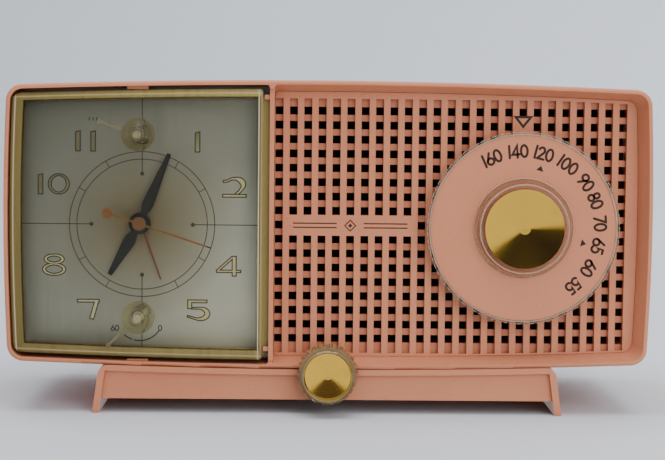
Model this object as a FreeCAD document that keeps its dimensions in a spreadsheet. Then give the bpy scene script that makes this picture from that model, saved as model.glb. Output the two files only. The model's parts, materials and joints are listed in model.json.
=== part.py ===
import FreeCAD, Part
import math
import os
import re

import Sketcher
from FreeCAD import Placement, Rotation, Vector

# Table-top clock radio with a moulded cabinet on a separate stand.
# Frame: X to the right as the listener sees it, -Y towards the listener, +Z up.
# The origin is on the surface that it stands on, under the middle of its bounding box.
# All lengths are millimetres and all angles are degrees, clockwise as the listener sees them.

SIZES = [
    # Datum lines that several pieces share.
    ("mid_height", 90, "height of the tuning and clock axes"),
    ("grille_front", -45, "Y of the front of the grille slats"),
    ("rim_front", -55, "Y of the front land of the cabinet rim"),
    ("cabinet_back", 62, "Y of the rear edge of the cabinet"),
    # Cabinet: pillow-shaped outline, its four sides bowed outwards.
    ("cabinet_width", 308.5, "over the widest part of the bowed sides"),
    ("cabinet_bottom", 21.6, "lowest point of the bowed underside"),
    ("cabinet_top", 159.2, "highest point of the bowed top"),
    ("top_bow", 3.4, "rise of the top and bottom arcs"),
    ("side_bow", 2, "swell of the side arcs"),
    ("corner_radius", 8, "outside corners, seen from the front"),
    ("rear_taper", 2.6, "how much the sides and top draw in at the back"),
    ("wall", 3, "thickness of the moulded walls"),
    ("rim_land", 2, "width of the front land"),
    ("rim_round", 1.6, "rounding of the outer edge of the land"),
    ("rim_band", 5.1, "land and bevel together, above and below the grille"),
    ("rim_side_band", 5.7, "land and bevel together, beside the grille"),
    ("clock_inset", 2.2, "rim above and below the clock opening"),
    ("clock_side_inset", 2.1, "rim beside the clock opening"),
    ("divider_left", -28.4, "clock side of the divider"),
    ("divider_right", -26.2, "grille side of the divider"),
    ("divider_front", -53, "Y of the front of the divider"),
    ("divider_rise", 65, "half height of the step in the divider"),
    ("divider_corner", 1.5, "corners beside the divider"),
    ("catch_front", -52, "Y of the front of the crystal catches"),
    ("catch_depth", 2.6, "depth of the catches"),
    ("catch_half", 5, "half width of the upper and lower catches"),
    ("catch_rise", 64.2, "from the mid height to the catches"),
    ("catch_height", 2.4, "height of the upper and lower catches"),
    ("peg_rise", 60, "from the mid height to the flange pegs"),
    ("grille_seat", -40, "Y of the ledge behind the grille"),
    ("clock_seat", -36, "Y of the front of the clock pan"),
    ("pan_back", -33, "Y of the back of the front web"),
    ("ledge", 3.2, "width of the ledge that carries the grille"),
    ("window_half_width", 36, "clock pan window"),
    ("window_half_height", 53, "clock pan window"),
    ("post_size", 10, "square posts for the rear cover screws"),
    ("post_front", 40, "Y of the front of the posts"),
    ("post_x", 143, "from the middle to the post centres"),
    ("post_rise", 52, "from the mid height to the post centres"),
    ("screw_radius", 1.5, "shank of every screw"),
    ("screw_gap", 0.05, "clearance around a shank"),
    ("screw_head", 3.2, "radius of the screw heads"),
    ("screw_depth", 11, "length of a rear screw in its post"),
    ("floor_window", 17, "half width of the opening in the floor"),
    ("floor_window_back", -8, "Y of its rear edge"),
    ("shaft_notch", 4.9, "radius of the notch for the volume bush"),
    # Grille: vertical slats in front of horizontal bars.
    ("grille_right", 147.95, "right edge of the grille panel"),
    ("grille_gap", 0.15, "seam around the grille panel"),
    ("bar_front", -42.4, "Y of the front of the horizontal bars"),
    ("grille_back", -40.1, "Y of the back of the panel"),
    ("grille_pitch", 6.86, "from hole to hole, both ways"),
    ("grille_hole", 3.8, "side of a square hole"),
    ("first_column", -23.97, "X of the middle of the first column"),
    ("slot_top", 150.7, "upper end of the slots"),
    ("slot_bottom", 28.4, "lower end of the slots"),
    ("dial_seat", 41, "radius of the solid disc behind the tuning dial"),
    # Stand under the cabinet.
    ("stand_top_half", 109, "half width of the stand at the top"),
    ("stand_foot_half", 112, "half width of the stand at the feet"),
    ("stand_front", -54.6, "Y of the front frame of the stand"),
    ("stand_back", 50, "Y of the rear frame of the stand"),
    ("stand_frame", 2.8, "width of the raised frame and the legs"),
    ("stand_apron", 6.8, "height of the lower edge of the aprons"),
    ("stand_inset", 2, "how far the aprons stand behind the frame"),
    ("stand_radius", 5, "upper corners of the stand"),
    ("stand_deck", 3, "thickness of the deck under the cabinet"),
    ("stand_screw_x", 80, "from the middle to the screws of the stand"),
    ("stand_screw_front", -26, "Y of the front pair of screws"),
    ("stand_screw_back", 34, "Y of the rear pair of screws"),
    # Tuning control.
    ("tuning_x", 92.65, "axis of the tuning control"),
    ("dial_radius", 44.2, "painted face of the tuning dial"),
    ("dial_rim_radius", 46, "clear rim of the tuning dial"),
    ("dial_front", -53, "Y of the face of the tuning dial"),
    ("dial_thickness", 2.4, "thickness of the face"),
    ("tuning_ring_radius", 24.2, "foot of the clear ring"),
    ("tuning_ring_inner", 21.2, "lip of the clear ring"),
    ("tuning_ring_front", -59, "Y of the lip of the clear ring"),
    ("tuning_cap_radius", 18.8, "spun cap"),
    ("tuning_cap_front", -59.7, "Y of the tip of the spun cap"),
    ("shaft_radius", 3, "tuning and volume shafts"),
    ("shaft_gap", 0.06, "clearance around a turning shaft"),
    ("seat_gap", 0.08, "clearance between a clear piece and what it sits on"),
    ("hub_radius", 6, "hub of the tuning dial"),
    ("tuner_front", 6, "Y of the front of the tuning capacitor"),
    ("tuner_back", 40, "Y of its back"),
    ("tuner_half", 20.5, "half width of its frame"),
    ("tuner_sheet", 1.5, "frame sheet thickness"),
    ("rotor_radius", 17.5, "moving vanes"),
    ("vane", 0.8, "thickness of every vane"),
    ("vane_pitch", 3.2, "from one moving vane to the next"),
    ("tuning_rest", 147, "turn from the closed end of the dial to the setting shown"),
    # Volume control.
    ("volume_z", 20, "height of the volume axis"),
    ("volume_skirt_back", -57, "Y of the back of the knob"),
    ("volume_skirt_front", -63.6, "Y of the shoulder of the knob"),
    ("volume_lip_front", -68, "Y of the lip around the cap"),
    ("volume_radius", 14.8, "fluted skirt"),
    ("volume_cap_radius", 10.8, "spun cap, sunk behind the lip"),
    ("volume_cap_rim", -64.6, "Y of the edge of the cap"),
    ("volume_cap_front", -64.9, "Y of the tip of the cap"),
    ("control_front", -27, "Y of the front of the volume control"),
    ("control_back", -13, "Y of its back"),
    ("control_radius", 8, "body of the volume control"),
    ("bush_radius", 4.5, "threaded bush"),
    # Clock: dial, crystal, hands and movement.
    ("clock_x", -90.85, "axis of the clock"),
    ("crystal_right", -31.6, "right edge of its box"),
    ("crystal_rise", 62, "from the mid height to the ends of its flange"),
    ("flange_front", -49.2, "Y of the front of the flange"),
    ("crystal_front", -54, "Y of the front face of the crystal"),
    ("crystal_wall", 2.2, "thickness of the crystal"),
    ("crystal_round", 1.4, "rounding of the edges of its front face"),
    ("crystal_flange", 3, "width of the flange beside the divider"),
    ("clock_dial_front", -37, "Y of the face of the dial plate"),
    ("dial_plate", 0.8, "thickness of the dial plate"),
    ("selector_offset", 0.4, "X of the selector axis from the clock axis"),
    ("selector_rise", 42.9, "height of the selector axis over the clock axis"),
    ("sleep_offset", 0.5, "X of the sleep timer axis from the clock axis"),
    ("sleep_drop", 43.9, "depth of the sleep timer axis under the clock axis"),
    ("knob_shaft_radius", 2, "selector and sleep timer shafts"),
    ("knob_ring_radius", 7.8, "foot of the clear knobs"),
    ("knob_tip_radius", 3.6, "tip of the clear knobs"),
    ("pointer_reach", 19, "from the knob axis to the bead of its pointer"),
    ("selector_angle", 288, "setting of the selector"),
    ("sleep_angle", 227, "setting of the sleep timer"),
    ("switch_back", -10, "Y of the back of the two switches"),
    ("switch_half", 10, "half height of the two switches"),
    ("knob_back", -54.6, "Y of the back of the clear knobs"),
    ("knob_front", -62, "Y of the tip of the clear knobs"),
    ("minute_length", 36.5, "from the axis to the tip"),
    ("minute_angle", 22.9, "setting of the minute hand"),
    ("hour_length", 28.9, "from the axis to the tip"),
    ("hour_angle", 210.4, "setting of the hour hand"),
    ("alarm_length", 29.1, "from the axis to the tip"),
    ("alarm_angle", 160, "setting of the alarm hand"),
    ("second_length", 36.5, "from the axis to the tip"),
    ("second_angle", 108.2, "setting of the sweep second hand"),
    ("alarm_plane", -39.2, "Y of the alarm hand"),
    ("hour_plane", -41.2, "Y of the hour hand"),
    ("minute_plane", -43.4, "Y of the minute hand"),
    ("second_plane", -45.6, "Y of the second hand"),
    ("alarm_tube", 4.3, "outer radius of the alarm tube"),
    ("hour_tube", 3.6, "outer radius of the hour tube"),
    ("minute_tube", 2.6, "outer radius of the minute tube"),
    ("second_arbor", 1.2, "radius of the second arbor"),
    ("tube_gap", 0.08, "clearance between one tube and the next"),
    ("tube_bore", 4.4, "hole for the tubes in the dial and the plate"),
    ("alarm_gear", -28, "Y of the alarm wheel"),
    ("hour_gear", -25, "Y of the hour wheel"),
    ("minute_gear", -22, "Y of the minute wheel"),
    ("wheel_radius", 20.4, "over the teeth"),
    ("pinion_radius", 10.6, "over the teeth"),
    ("movement_front", -33, "Y of the front of the movement plate"),
    ("movement_plate", 1.5, "thickness of the movement plate"),
    ("movement_half_width", 42, "movement plate"),
    ("movement_half_height", 57, "movement plate"),
    ("case_half", 32.5, "gear case, left of the clock axis, up and down"),
    ("case_reach", 42, "gear case, right of the clock axis"),
    ("case_back", -4, "Y of the back of the gear case"),
    ("case_wall", 1.2, "sheet of the gear case"),
    ("setting_x", -62, "axis of the two setting shafts"),
    ("setting_rise", 13, "setting shafts above and below the clock axis"),
    ("setting_radius", 1.8, "setting shafts"),
    ("setting_knob_radius", 7, "setting knobs"),
    ("setting_knob_front", 59.6, "Y of the front of the setting knobs"),
    ("setting_knob_back", 68, "Y of the back of the setting knobs"),
    # Speaker.
    ("speaker_x", 27, "axis of the speaker"),
    ("speaker_z", 93, "axis of the speaker"),
    ("speaker_radius", 46, "rim of the speaker"),
    ("baffle_thickness", 3, "board that carries the speaker"),
    # Chassis and what stands on it.
    ("chassis_left", -20, "left edge of the chassis"),
    ("chassis_right", 137, "right edge of the chassis"),
    ("chassis_front", -24, "Y of the front flange"),
    ("chassis_rear", 50, "Y of the rear flange"),
    ("chassis_bottom", 28.4, "lower edge of the flanges"),
    ("chassis_top", 40, "top of the chassis deck"),
    ("chassis_sheet", 1.2, "sheet thickness"),
    ("board_bottom", 43, "underside of the circuit board"),
    ("board_thickness", 1.6, "circuit board"),
    ("socket_radius", 9.5, "valve sockets"),
    ("socket_height", 6, "valve sockets"),
    ("valve_radius", 9, "glass of the small valves"),
    # Rear cover.
    ("cover_front", 56, "Y of the front of the rear cover"),
    ("cover_thickness", 2.4, "pressed board"),
    ("vent_pitch", 12, "from one slot of the cover to the next"),
    ("vent_half", 2.5, "half width of a slot"),
    ("first_vent", -120, "X of the first slot"),
    ("inlet_x", 112, "mains inlet"),
    ("inlet_z", 54, "mains inlet"),
    ("inlet_half_width", 12, "hole for the mains inlet"),
    ("inlet_half_height", 8, "hole for the mains inlet"),
    ("antenna_y", 48, "axis of the antenna rod"),
    ("antenna_z", 142, "axis of the antenna rod"),
]

os.makedirs("parts", exist_ok=True)
doc = FreeCAD.newDocument("clock_radio")
sheet = doc.addObject("Spreadsheet::Sheet", "sizes")
for row, (alias, value, note) in enumerate(SIZES, start=1):
    sheet.set(f"A{row}", alias)
    sheet.set(f"B{row}", str(value))
    sheet.set(f"C{row}", note)
    sheet.setAlias(f"B{row}", alias)
doc.recompute()

RIM_FLUTES = 90
KNOB_FLUTES = 22
SETTING_FLUTES = 24
GRILLE_COLUMNS = 25
NAME_BAR_COLUMNS = range(1, 10)
POINTER_COLUMN = 17
UPPER_VENTS, UPPER_VENT_SPAN = 21, (112, 138)
LOWER_VENTS, LOWER_VENT_SPAN = 17, (38, 62)

ALONG_Y = Rotation(Vector(1, 0, 0), -90)
ALONG_X = Rotation(Vector(0, 1, 0), 90)
CLOCKWISE = Vector(0, 1, 0)
pieces = []


# ---------------------------------------------------------------- helpers

def formula(text):
    """An expression over the sheet: every word in it is the alias of a cell."""
    return re.sub(r"[a-z][a-z_]+", lambda word: "sizes." + word.group(), str(text))


def bind(obj, prop, text):
    obj.setExpression(prop, formula(text))


def size(text):
    """The present value of an expression over the sheet."""
    return float(sheet.evalExpression(formula(text)))


def piece(obj, label):
    """Registers a finished sub-part under the name of its node."""
    obj.Label = label
    pieces.append(obj)
    return obj


def box(name, x, y, z):
    """Block between three pairs of bounds."""
    block = doc.addObject("Part::Box", name)
    for prop, axis, (low, high) in zip(("Length", "Width", "Height"), "xyz", (x, y, z)):
        bind(block, prop, f"({high}) - ({low})")
        bind(block, "Placement.Base." + axis, low)
    return block


def rod_y(name, x, z, radius, y):
    """Cylinder along Y, between two bounds."""
    rod = doc.addObject("Part::Cylinder", name)
    rod.Placement = Placement(Vector(), ALONG_Y)
    bind(rod, "Radius", radius)
    bind(rod, "Height", f"({y[1]}) - ({y[0]})")
    for axis, place in zip("xyz", (x, y[0], z)):
        bind(rod, "Placement.Base." + axis, place)
    return rod


def rod_z(name, x, y, radius, z):
    """Upright cylinder, between two bounds."""
    rod = doc.addObject("Part::Cylinder", name)
    bind(rod, "Radius", radius)
    bind(rod, "Height", f"({z[1]}) - ({z[0]})")
    for axis, place in zip("xyz", (x, y, z[0])):
        bind(rod, "Placement.Base." + axis, place)
    return rod


def rod_x(name, y, z, radius, x):
    """Cylinder along X, between two bounds."""
    rod = doc.addObject("Part::Cylinder", name)
    rod.Placement = Placement(Vector(), ALONG_X)
    bind(rod, "Radius", radius)
    bind(rod, "Height", f"({x[1]}) - ({x[0]})")
    for axis, place in zip("xyz", (x[0], y, z)):
        bind(rod, "Placement.Base." + axis, place)
    return rod


def fuse(name, *parts):
    joined = doc.addObject("Part::MultiFuse", name)
    joined.Shapes = list(parts)
    return joined


def cut(name, base, *tools):
    result = doc.addObject("Part::Cut", name)
    result.Base = base
    result.Tool = tools[0] if len(tools) == 1 else fuse(name + "_tools", *tools)
    return result


def group(name, *parts):
    """Separate solids of one kind that share a node."""
    joined = doc.addObject("Part::Compound", name)
    joined.Links = list(parts)
    return joined


def new_body(label):
    return piece(doc.addObject("PartDesign::Body", label), label)


def place_body(body, x, z, angle=None):
    """Moves a body that was drawn about its own Y axis, and turns it clockwise."""
    body.Placement = Placement(Vector(), Rotation(CLOCKWISE, 1))
    bind(body, "Placement.Base.x", x)
    bind(body, "Placement.Base.z", z)
    bind(body, "Placement.Rotation.Angle", angle or "0")


def new_sketch(body, name, role, offset="0"):
    """Sketch on an origin plane of its body, moved along +X, +Y or +Z by offset."""
    sketch = body.newObject("Sketcher::SketchObject", name)
    plane = next(item for item in body.Origin.OriginFeatures if item.Role == role)
    sketch.AttachmentSupport = [(plane, "")]
    sketch.MapMode = "FlatFace"
    sign = "-" if role == "XZ_Plane" else ""
    bind(sketch, "AttachmentOffset.Base.z", f"{sign}({offset})")
    return sketch


def pin_point(sketch, edge, corner, place):
    """Binds a sketch point to its two distances from the sketch origin."""
    for kind, text in zip(("DistanceX", "DistanceY"), place):
        made = sketch.addConstraint(Sketcher.Constraint(kind, -1, 1, edge, corner, size(text)))
        bind(sketch, f"Constraints[{made}]", text)


def add_polygon(sketch, points):
    """Closed outline of straight lines whose corners are bound to the sheet."""
    first = sketch.GeometryCount
    corners = [Vector(size(x), size(y), 0) for x, y in points]
    count = len(corners)
    sketch.addGeometry([Part.LineSegment(corners[i], corners[(i + 1) % count]) for i in range(count)])
    for i in range(count):
        following = first + (i + 1) % count
        sketch.addConstraint(Sketcher.Constraint("Coincident", first + i, 2, following, 1))
        pin_point(sketch, first + i, 1, points[i])


def add_rectangle(sketch, x, y):
    add_polygon(sketch, [(x[0], y[0]), (x[1], y[0]), (x[1], y[1]), (x[0], y[1])])


def add_circle(sketch, x, y, radius):
    circle = sketch.addGeometry(Part.Circle(Vector(size(x), size(y), 0), Vector(0, 0, 1), size(radius)))
    made = sketch.addConstraint(Sketcher.Constraint("Radius", circle, size(radius)))
    bind(sketch, f"Constraints[{made}]", radius)
    pin_point(sketch, circle, 3, (x, y))


def add_outline(sketch, points):
    """Closed outline of straight lines between points that were worked out in code."""
    corners = [Vector(x, y, 0) for x, y in points]
    sketch.addGeometry([Part.LineSegment(a, b) for a, b in zip(corners, corners[1:] + corners[:1])])


def grow(body, sketch, length, backwards=True):
    """Pad; backwards means along +Y for a sketch that faces the listener."""
    pad = body.newObject("PartDesign::Pad", sketch.Name + "_pad")
    pad.Profile = sketch
    pad.Reversed = backwards
    bind(pad, "Length", length)
    return pad


def pierce(body, sketch, length, reverse=False):
    """Pocket; it runs along +Y from a sketch that faces the listener."""
    pocket = body.newObject("PartDesign::Pocket", sketch.Name + "_pocket")
    pocket.Profile = sketch
    pocket.Reversed = reverse
    bind(pocket, "Length", length)
    return pocket


def turn(body, sketch, groove=False):
    """Revolves a half section about the Y axis of the body."""
    kind = "PartDesign::Groove" if groove else "PartDesign::Revolution"
    feature = body.newObject(kind, sketch.Name + "_turned")
    feature.Profile = sketch
    feature.ReferenceAxis = (sketch, ["V_Axis"])
    feature.Angle = 360
    return feature


def turned_piece(label, x, z, points, angle=None):
    """Turned body on an axis along Y; points are radius and Y of its half section."""
    body = new_body(label)
    section = new_sketch(body, label + "_section", "XY_Plane")
    add_polygon(section, points)
    turn(body, section)
    place_body(body, x, z, angle)
    return body


def soften(body, radius, test):
    """Rounds the edges of the body for which test is true."""
    doc.recompute()
    base = body.Tip
    names = [f"Edge{i}" for i, edge in enumerate(base.Shape.Edges, start=1) if test(edge)]
    fillet = body.newObject("PartDesign::Fillet", body.Name + "_rounds")
    fillet.Base = (base, names)
    bind(fillet, "Radius", radius)
    return fillet


# ---------------------------------------------------------------- pillow-shaped outlines

def circles_meet(first, first_radius, second, second_radius, near):
    """The meeting point of two circles that lies nearer to a given point."""
    span = second - first
    along = (first_radius ** 2 - second_radius ** 2 + span.Length ** 2) / (2 * span.Length)
    across = math.sqrt(first_radius ** 2 - along ** 2)
    foot = first + span * (along / span.Length)
    normal = Vector(-span.y, span.x, 0) * (across / span.Length)
    return min((foot + normal, foot - normal), key=lambda point: (point - near).Length)


def pillow(ends, sides, corner, shrink=0.0, left=None, right=None):
    """Closed outline that follows the cabinet: bowed arcs joined by rounded corners.

    ends and sides are its insets from the cabinet, shrink is the draw towards the back,
    and left and right stand in for a bowed side with an upright line.
    """
    half = size("cabinet_width / 2") - shrink
    low, high = size("cabinet_bottom"), size("cabinet_top") - shrink
    middle, rise = (low + high) / 2, (high - low) / 2
    bow, swell = size("top_bow"), size("side_bow")
    end_radius = (half ** 2 + bow ** 2) / (2 * bow)
    side_radius = (rise ** 2 + swell ** 2) / (2 * swell)
    end_track = end_radius - ends
    side_track = side_radius - sides

    corners = []
    for side, end in ((1, -1), (1, 1), (-1, 1), (-1, -1)):
        end_centre = Vector(0, (high - end_radius) if end > 0 else (low + end_radius), 0)
        upright = right if side > 0 else left
        if upright is None:
            turn_radius = corner
            side_centre = Vector(side * (half - side_radius), middle, 0)
            centre = circles_meet(end_centre, end_track - corner, side_centre, side_track - corner,
                                  Vector(side * half, middle + end * rise, 0))
            on_side = side_centre + (centre - side_centre).normalize() * side_track
        else:
            turn_radius = size("divider_corner")
            x = upright - side * turn_radius
            centre = Vector(x, end_centre.y + end * math.sqrt((end_track - turn_radius) ** 2 - x ** 2), 0)
            on_side = Vector(upright, centre.y, 0)
        on_end = end_centre + (centre - end_centre).normalize() * end_track
        outward = ((on_side - centre) + (on_end - centre)).normalize()
        start, finish = (on_end, on_side) if side * end < 0 else (on_side, on_end)
        corners.append((start, centre + outward * turn_radius, finish))

    # The corners run anticlockwise from the lower right one, each with the side that follows it.
    lines = []
    for index, (start, crown, finish) in enumerate(corners):
        lines.append(Part.Arc(start, crown, finish))
        following = corners[(index + 1) % 4][0]
        chord = (finish + following) * 0.5
        if index == 0 and right is not None or index == 2 and left is not None:
            lines.append(Part.LineSegment(finish, following))
            continue
        if index in (0, 2):
            side = 1 if index == 0 else -1
            centre, track = Vector(side * (half - side_radius), middle, 0), side_track
        else:
            centre = Vector(0, (high - end_radius) if index == 1 else (low + end_radius), 0)
            track = end_track
        lines.append(Part.Arc(finish, centre + (chord - centre).normalize() * track, following))
    return lines


def pillow_sketch(body, name, offset, *args, **kwargs):
    sketch = new_sketch(body, name, "XZ_Plane", offset)
    sketch.addGeometry(pillow(*args, **kwargs))
    return sketch


def loft(body, name, first, second, hollow=False):
    kind = "PartDesign::SubtractiveLoft" if hollow else "PartDesign::AdditiveLoft"
    feature = body.newObject(kind, name)
    feature.Profile = first
    feature.Sections = [second]
    feature.Ruled = True
    return feature


def drawn_in(y):
    """How far the sides and the top of the cabinet have drawn in at y, behind the front web."""
    return size(f"rear_taper * (({y}) - (pan_back)) / (cabinet_back - (pan_back))")


def floor_height(x):
    """Height of the bowed underside of the cabinet at x."""
    half, bow = size("cabinet_width / 2"), size("top_bow")
    radius = (half ** 2 + bow ** 2) / (2 * bow)
    return size("cabinet_bottom") + radius - math.sqrt(radius ** 2 - x ** 2)


# ---------------------------------------------------------------- cabinet, grille and stand

def post_places():
    """Middles of the four posts that take the rear cover screws."""
    return [(f"{side} * post_x", f"mid_height + {end} * post_rise") for side in (-1, 1) for end in (-1, 1)]


def make_cabinet():
    body = new_body("cabinet")
    corner, wall = size("corner_radius"), size("wall")
    rim = pillow_sketch(body, "rim_outline", "rim_front", 0, 0, corner)
    grow(body, rim, "pan_back - (rim_front)")
    soften(body, "rim_round", lambda edge: abs(edge.BoundBox.YMax - size("rim_front")) < 0.01)
    loft(body, "shell",
         pillow_sketch(body, "shell_outline", "pan_back", 0, 0, corner),
         pillow_sketch(body, "rear_outline", "cabinet_back", 0, 0, corner, drawn_in("cabinet_back")))
    loft(body, "cavity",
         pillow_sketch(body, "cavity_front", "pan_back", wall, wall, corner - wall),
         pillow_sketch(body, "cavity_back", "cabinet_back", wall, wall, corner - wall,
                       drawn_in("cabinet_back")), hollow=True)

    band, side_band, ledge = size("rim_band"), size("rim_side_band"), size("ledge")
    left = size("divider_right")
    loft(body, "bevel",
         pillow_sketch(body, "bevel_front", "rim_front", size("rim_land"), size("rim_land"), corner - 2,
                       left=left),
         pillow_sketch(body, "bevel_back", "grille_front", band, side_band, corner - 3, left=left),
         hollow=True)
    seat = pillow_sketch(body, "grille_opening", "grille_front", band, side_band, corner - 3, left=left)
    pierce(body, seat, "grille_seat - (grille_front)")
    window = pillow_sketch(body, "grille_window", "grille_seat", band + ledge, side_band + ledge,
                           corner - 3, left=left)
    pierce(body, window, "pan_back - (grille_seat)")

    opening = pillow_sketch(body, "clock_opening", "rim_front", size("clock_inset"),
                            size("clock_side_inset"), corner - 2, right=size("divider_left"))
    pierce(body, opening, "clock_seat - (rim_front)")
    pan = new_sketch(body, "clock_window", "XZ_Plane", "clock_seat")
    add_rectangle(pan, ("clock_x - window_half_width", "clock_x + window_half_width"),
                  ("mid_height - window_half_height", "mid_height + window_half_height"))
    pierce(body, pan, "pan_back - (clock_seat)")
    strip = new_sketch(body, "divider_step", "XZ_Plane", "rim_front")
    add_rectangle(strip, ("divider_left", "divider_right"),
                  ("mid_height - divider_rise", "mid_height + divider_rise"))
    pierce(body, strip, "divider_front - (rim_front)")

    # Catches that hold the crystal: a lug above and below it, and two pegs over its flange.
    catches = new_sketch(body, "catches", "XZ_Plane", "catch_front")
    for end in (-1, 1):
        add_rectangle(catches, ("clock_x - catch_half", "clock_x + catch_half"),
                      (f"mid_height + {end} * catch_rise",
                       f"mid_height + {end} * (catch_rise + catch_height)"))
        add_rectangle(catches, ("divider_left - 2.6", "divider_left + 0.5"),
                      (f"mid_height + {end} * peg_rise", f"mid_height + {end} * peg_rise + 2.2"))
    grow(body, catches, "catch_depth")

    posts = new_sketch(body, "posts", "XZ_Plane", "post_front")
    for x, z in post_places():
        add_rectangle(posts, (f"{x} - post_size / 2", f"{x} + post_size / 2"),
                      (f"{z} - post_size / 2", f"{z} + post_size / 2"))
    grow(body, posts, "cover_front - post_front")
    pilots = new_sketch(body, "pilots", "XZ_Plane", "cover_front")
    for x, z in post_places():
        add_circle(pilots, x, z, "screw_radius + screw_gap")
    pierce(body, pilots, "screw_depth + 1", reverse=True)

    rests = new_sketch(body, "chassis_rests", "XY_Plane", "cabinet_bottom + 2.5")
    for x in ("chassis_left + 54", "chassis_right - 14"):
        for y in ("chassis_front + 6", "chassis_rear - 6"):
            add_rectangle(rests, (f"{x} - 5", f"{x} + 5"), (f"{y} - 4", f"{y} + 4"))
    grow(body, rests, "chassis_bottom - cabinet_bottom - 2.5", backwards=False)

    floor = new_sketch(body, "floor_window", "XY_Plane", "cabinet_bottom - 1")
    add_rectangle(floor, ("-floor_window", "floor_window"), ("pan_back", "floor_window_back"))
    pierce(body, floor, "wall + 2", reverse=True)
    holes = new_sketch(body, "stand_holes", "XY_Plane", "cabinet_bottom - 1")
    for x, y in stand_screw_places():
        add_circle(holes, x, y, "screw_radius + screw_gap")
    pierce(body, holes, "wall + 6", reverse=True)
    notch = new_sketch(body, "bush_notch", "XZ_Plane", "rim_front")
    add_circle(notch, "0", "volume_z", "shaft_notch")
    pierce(body, notch, "pan_back - (rim_front)")


def make_grille():
    """Slats in front and bars behind, so that the square holes are stepped."""
    body = new_body("speaker_grille")
    gap, corner = size("grille_gap"), size("corner_radius") - 3.2
    ends, sides = size("rim_band") + gap, size("rim_side_band") + gap
    left = size("divider_right") + gap
    pitch, half = size("grille_pitch"), size("grille_hole / 2")
    middle, axis, disc = size("mid_height"), size("tuning_x"), size("dial_seat")

    def slot_ends(x):
        """Ends of a slot, which keep clear of the bowed edge of the panel."""
        edge = floor_height(x + half) + ends + 0.8
        return max(size("slot_bottom"), edge), min(size("slot_top"), 2 * middle - edge)

    def rectangle(x, bottom, top):
        return [(x - half, bottom), (x + half, bottom), (x + half, top), (x - half, top)]

    def solid_spans(column, x):
        """Heights where a column stays whole: the name bar, the pointer patch and the dial seat."""
        spans = []
        if column in NAME_BAR_COLUMNS:
            spans.append((middle - pitch + half, middle + pitch - half))
        if column == POINTER_COLUMN:
            spans.append((middle + 6 * pitch + half, middle + 8 * pitch - half))
        if abs(x - axis) < disc:
            reach = math.sqrt(disc ** 2 - (x - axis) ** 2)
            spans.append((middle - reach, middle + reach))
        return sorted(spans)

    slats = pillow_sketch(body, "slats", "grille_front", ends, sides, corner, left=left)
    bars = pillow_sketch(body, "bars", "bar_front", ends, sides, corner, left=left)
    for column in range(GRILLE_COLUMNS):
        x = size("first_column") + column * pitch
        spans = solid_spans(column, x)
        start, high = slot_ends(x)
        for bottom, top in spans + [(high, high)]:
            if bottom - start > 1:
                add_outline(slats, rectangle(x, start, bottom))
            start = top
        for row in range(-8, 9):
            z = middle + row * pitch
            if all(z + half < bottom + 0.01 or z - half > top - 0.01 for bottom, top in spans):
                add_outline(bars, rectangle(x, z - half, z + half))
    grow(body, slats, "bar_front - (grille_front)")
    grow(body, bars, "grille_back - (bar_front)")
    bore = new_sketch(body, "hub_bore", "XZ_Plane", "grille_front")
    add_circle(bore, "tuning_x", "mid_height", "hub_radius + 1")
    pierce(body, bore, "grille_back - (grille_front)")


def stand_screw_places():
    return [(f"{side} * stand_screw_x", y) for side in (-1, 1)
            for y in ("stand_screw_front", "stand_screw_back")]


def stand_profile(body, name, offset, inset, foot):
    """Front view of the stand: flared legs under a deck that follows the bowed cabinet."""
    sketch = new_sketch(body, name, "XZ_Plane", offset)
    slope = size("(stand_foot_half - stand_top_half) / cabinet_bottom")
    top_half = size("stand_top_half") - inset
    height = floor_height(top_half) - inset
    foot_half = top_half + slope * (height - foot)
    crown = size("cabinet_bottom") - inset
    left, right = Vector(-top_half, height, 0), Vector(top_half, height, 0)
    low_left, low_right = Vector(-foot_half, foot, 0), Vector(foot_half, foot, 0)
    sketch.addGeometry([
        Part.LineSegment(low_left, low_right), Part.LineSegment(low_right, right),
        Part.Arc(right, Vector(0, crown, 0), left), Part.LineSegment(left, low_left)])
    return sketch


def make_stand():
    body = new_body("base_stand")
    frame, radius = size("stand_frame"), size("stand_radius")
    whole = stand_profile(body, "stand_outline", "stand_front", 0, 0)
    grow(body, whole, "stand_back - (stand_front)")
    upper = size("cabinet_bottom") * 0.8
    soften(body, "stand_radius",
           lambda edge: edge.BoundBox.YLength > 50 and edge.BoundBox.ZMin > upper
           and abs(edge.BoundBox.Center.x) > size("stand_top_half") - 3)
    inner_top = size("stand_deck") - frame
    hollow = stand_profile(body, "stand_hollow", "stand_front + stand_inset + stand_frame",
                           frame + inner_top, -1)
    pierce(body, hollow, "stand_back - (stand_front) - 2 * (stand_inset + stand_frame)")
    for name, start in (("front_recess", "stand_front"), ("rear_recess", "stand_back - stand_inset")):
        pierce(body, stand_profile(body, name, start, frame, -1), "stand_inset")
    tunnel = new_sketch(body, "apron_edge", "XZ_Plane", "stand_front")
    flare = "(stand_foot_half - stand_top_half) / cabinet_bottom"
    foot, knee = (f"(stand_foot_half - stand_frame - ({z}) * {flare})" for z in ("-1", "stand_apron"))
    add_polygon(tunnel, [(f"-{foot}", "-1"), (foot, "-1"), (knee, "stand_apron"),
                         (f"-{knee}", "stand_apron")])
    pierce(body, tunnel, "stand_back - (stand_front)")
    bush = new_sketch(body, "stand_bush", "XZ_Plane", "stand_front")
    add_circle(bush, "0", "volume_z", "shaft_notch")
    pierce(body, bush, "pan_back - (stand_front)")
    deck = new_sketch(body, "deck_window", "XY_Plane", "cabinet_bottom + 1")
    add_rectangle(deck, ("-floor_window", "floor_window"), ("pan_back", "floor_window_back"))
    pierce(body, deck, "stand_deck + 3")
    holes = new_sketch(body, "deck_holes", "XY_Plane", "cabinet_bottom + 3")
    for x, y in stand_screw_places():
        add_circle(holes, x, y, "screw_radius + screw_gap")
    pierce(body, holes, "stand_deck + 5")


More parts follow.
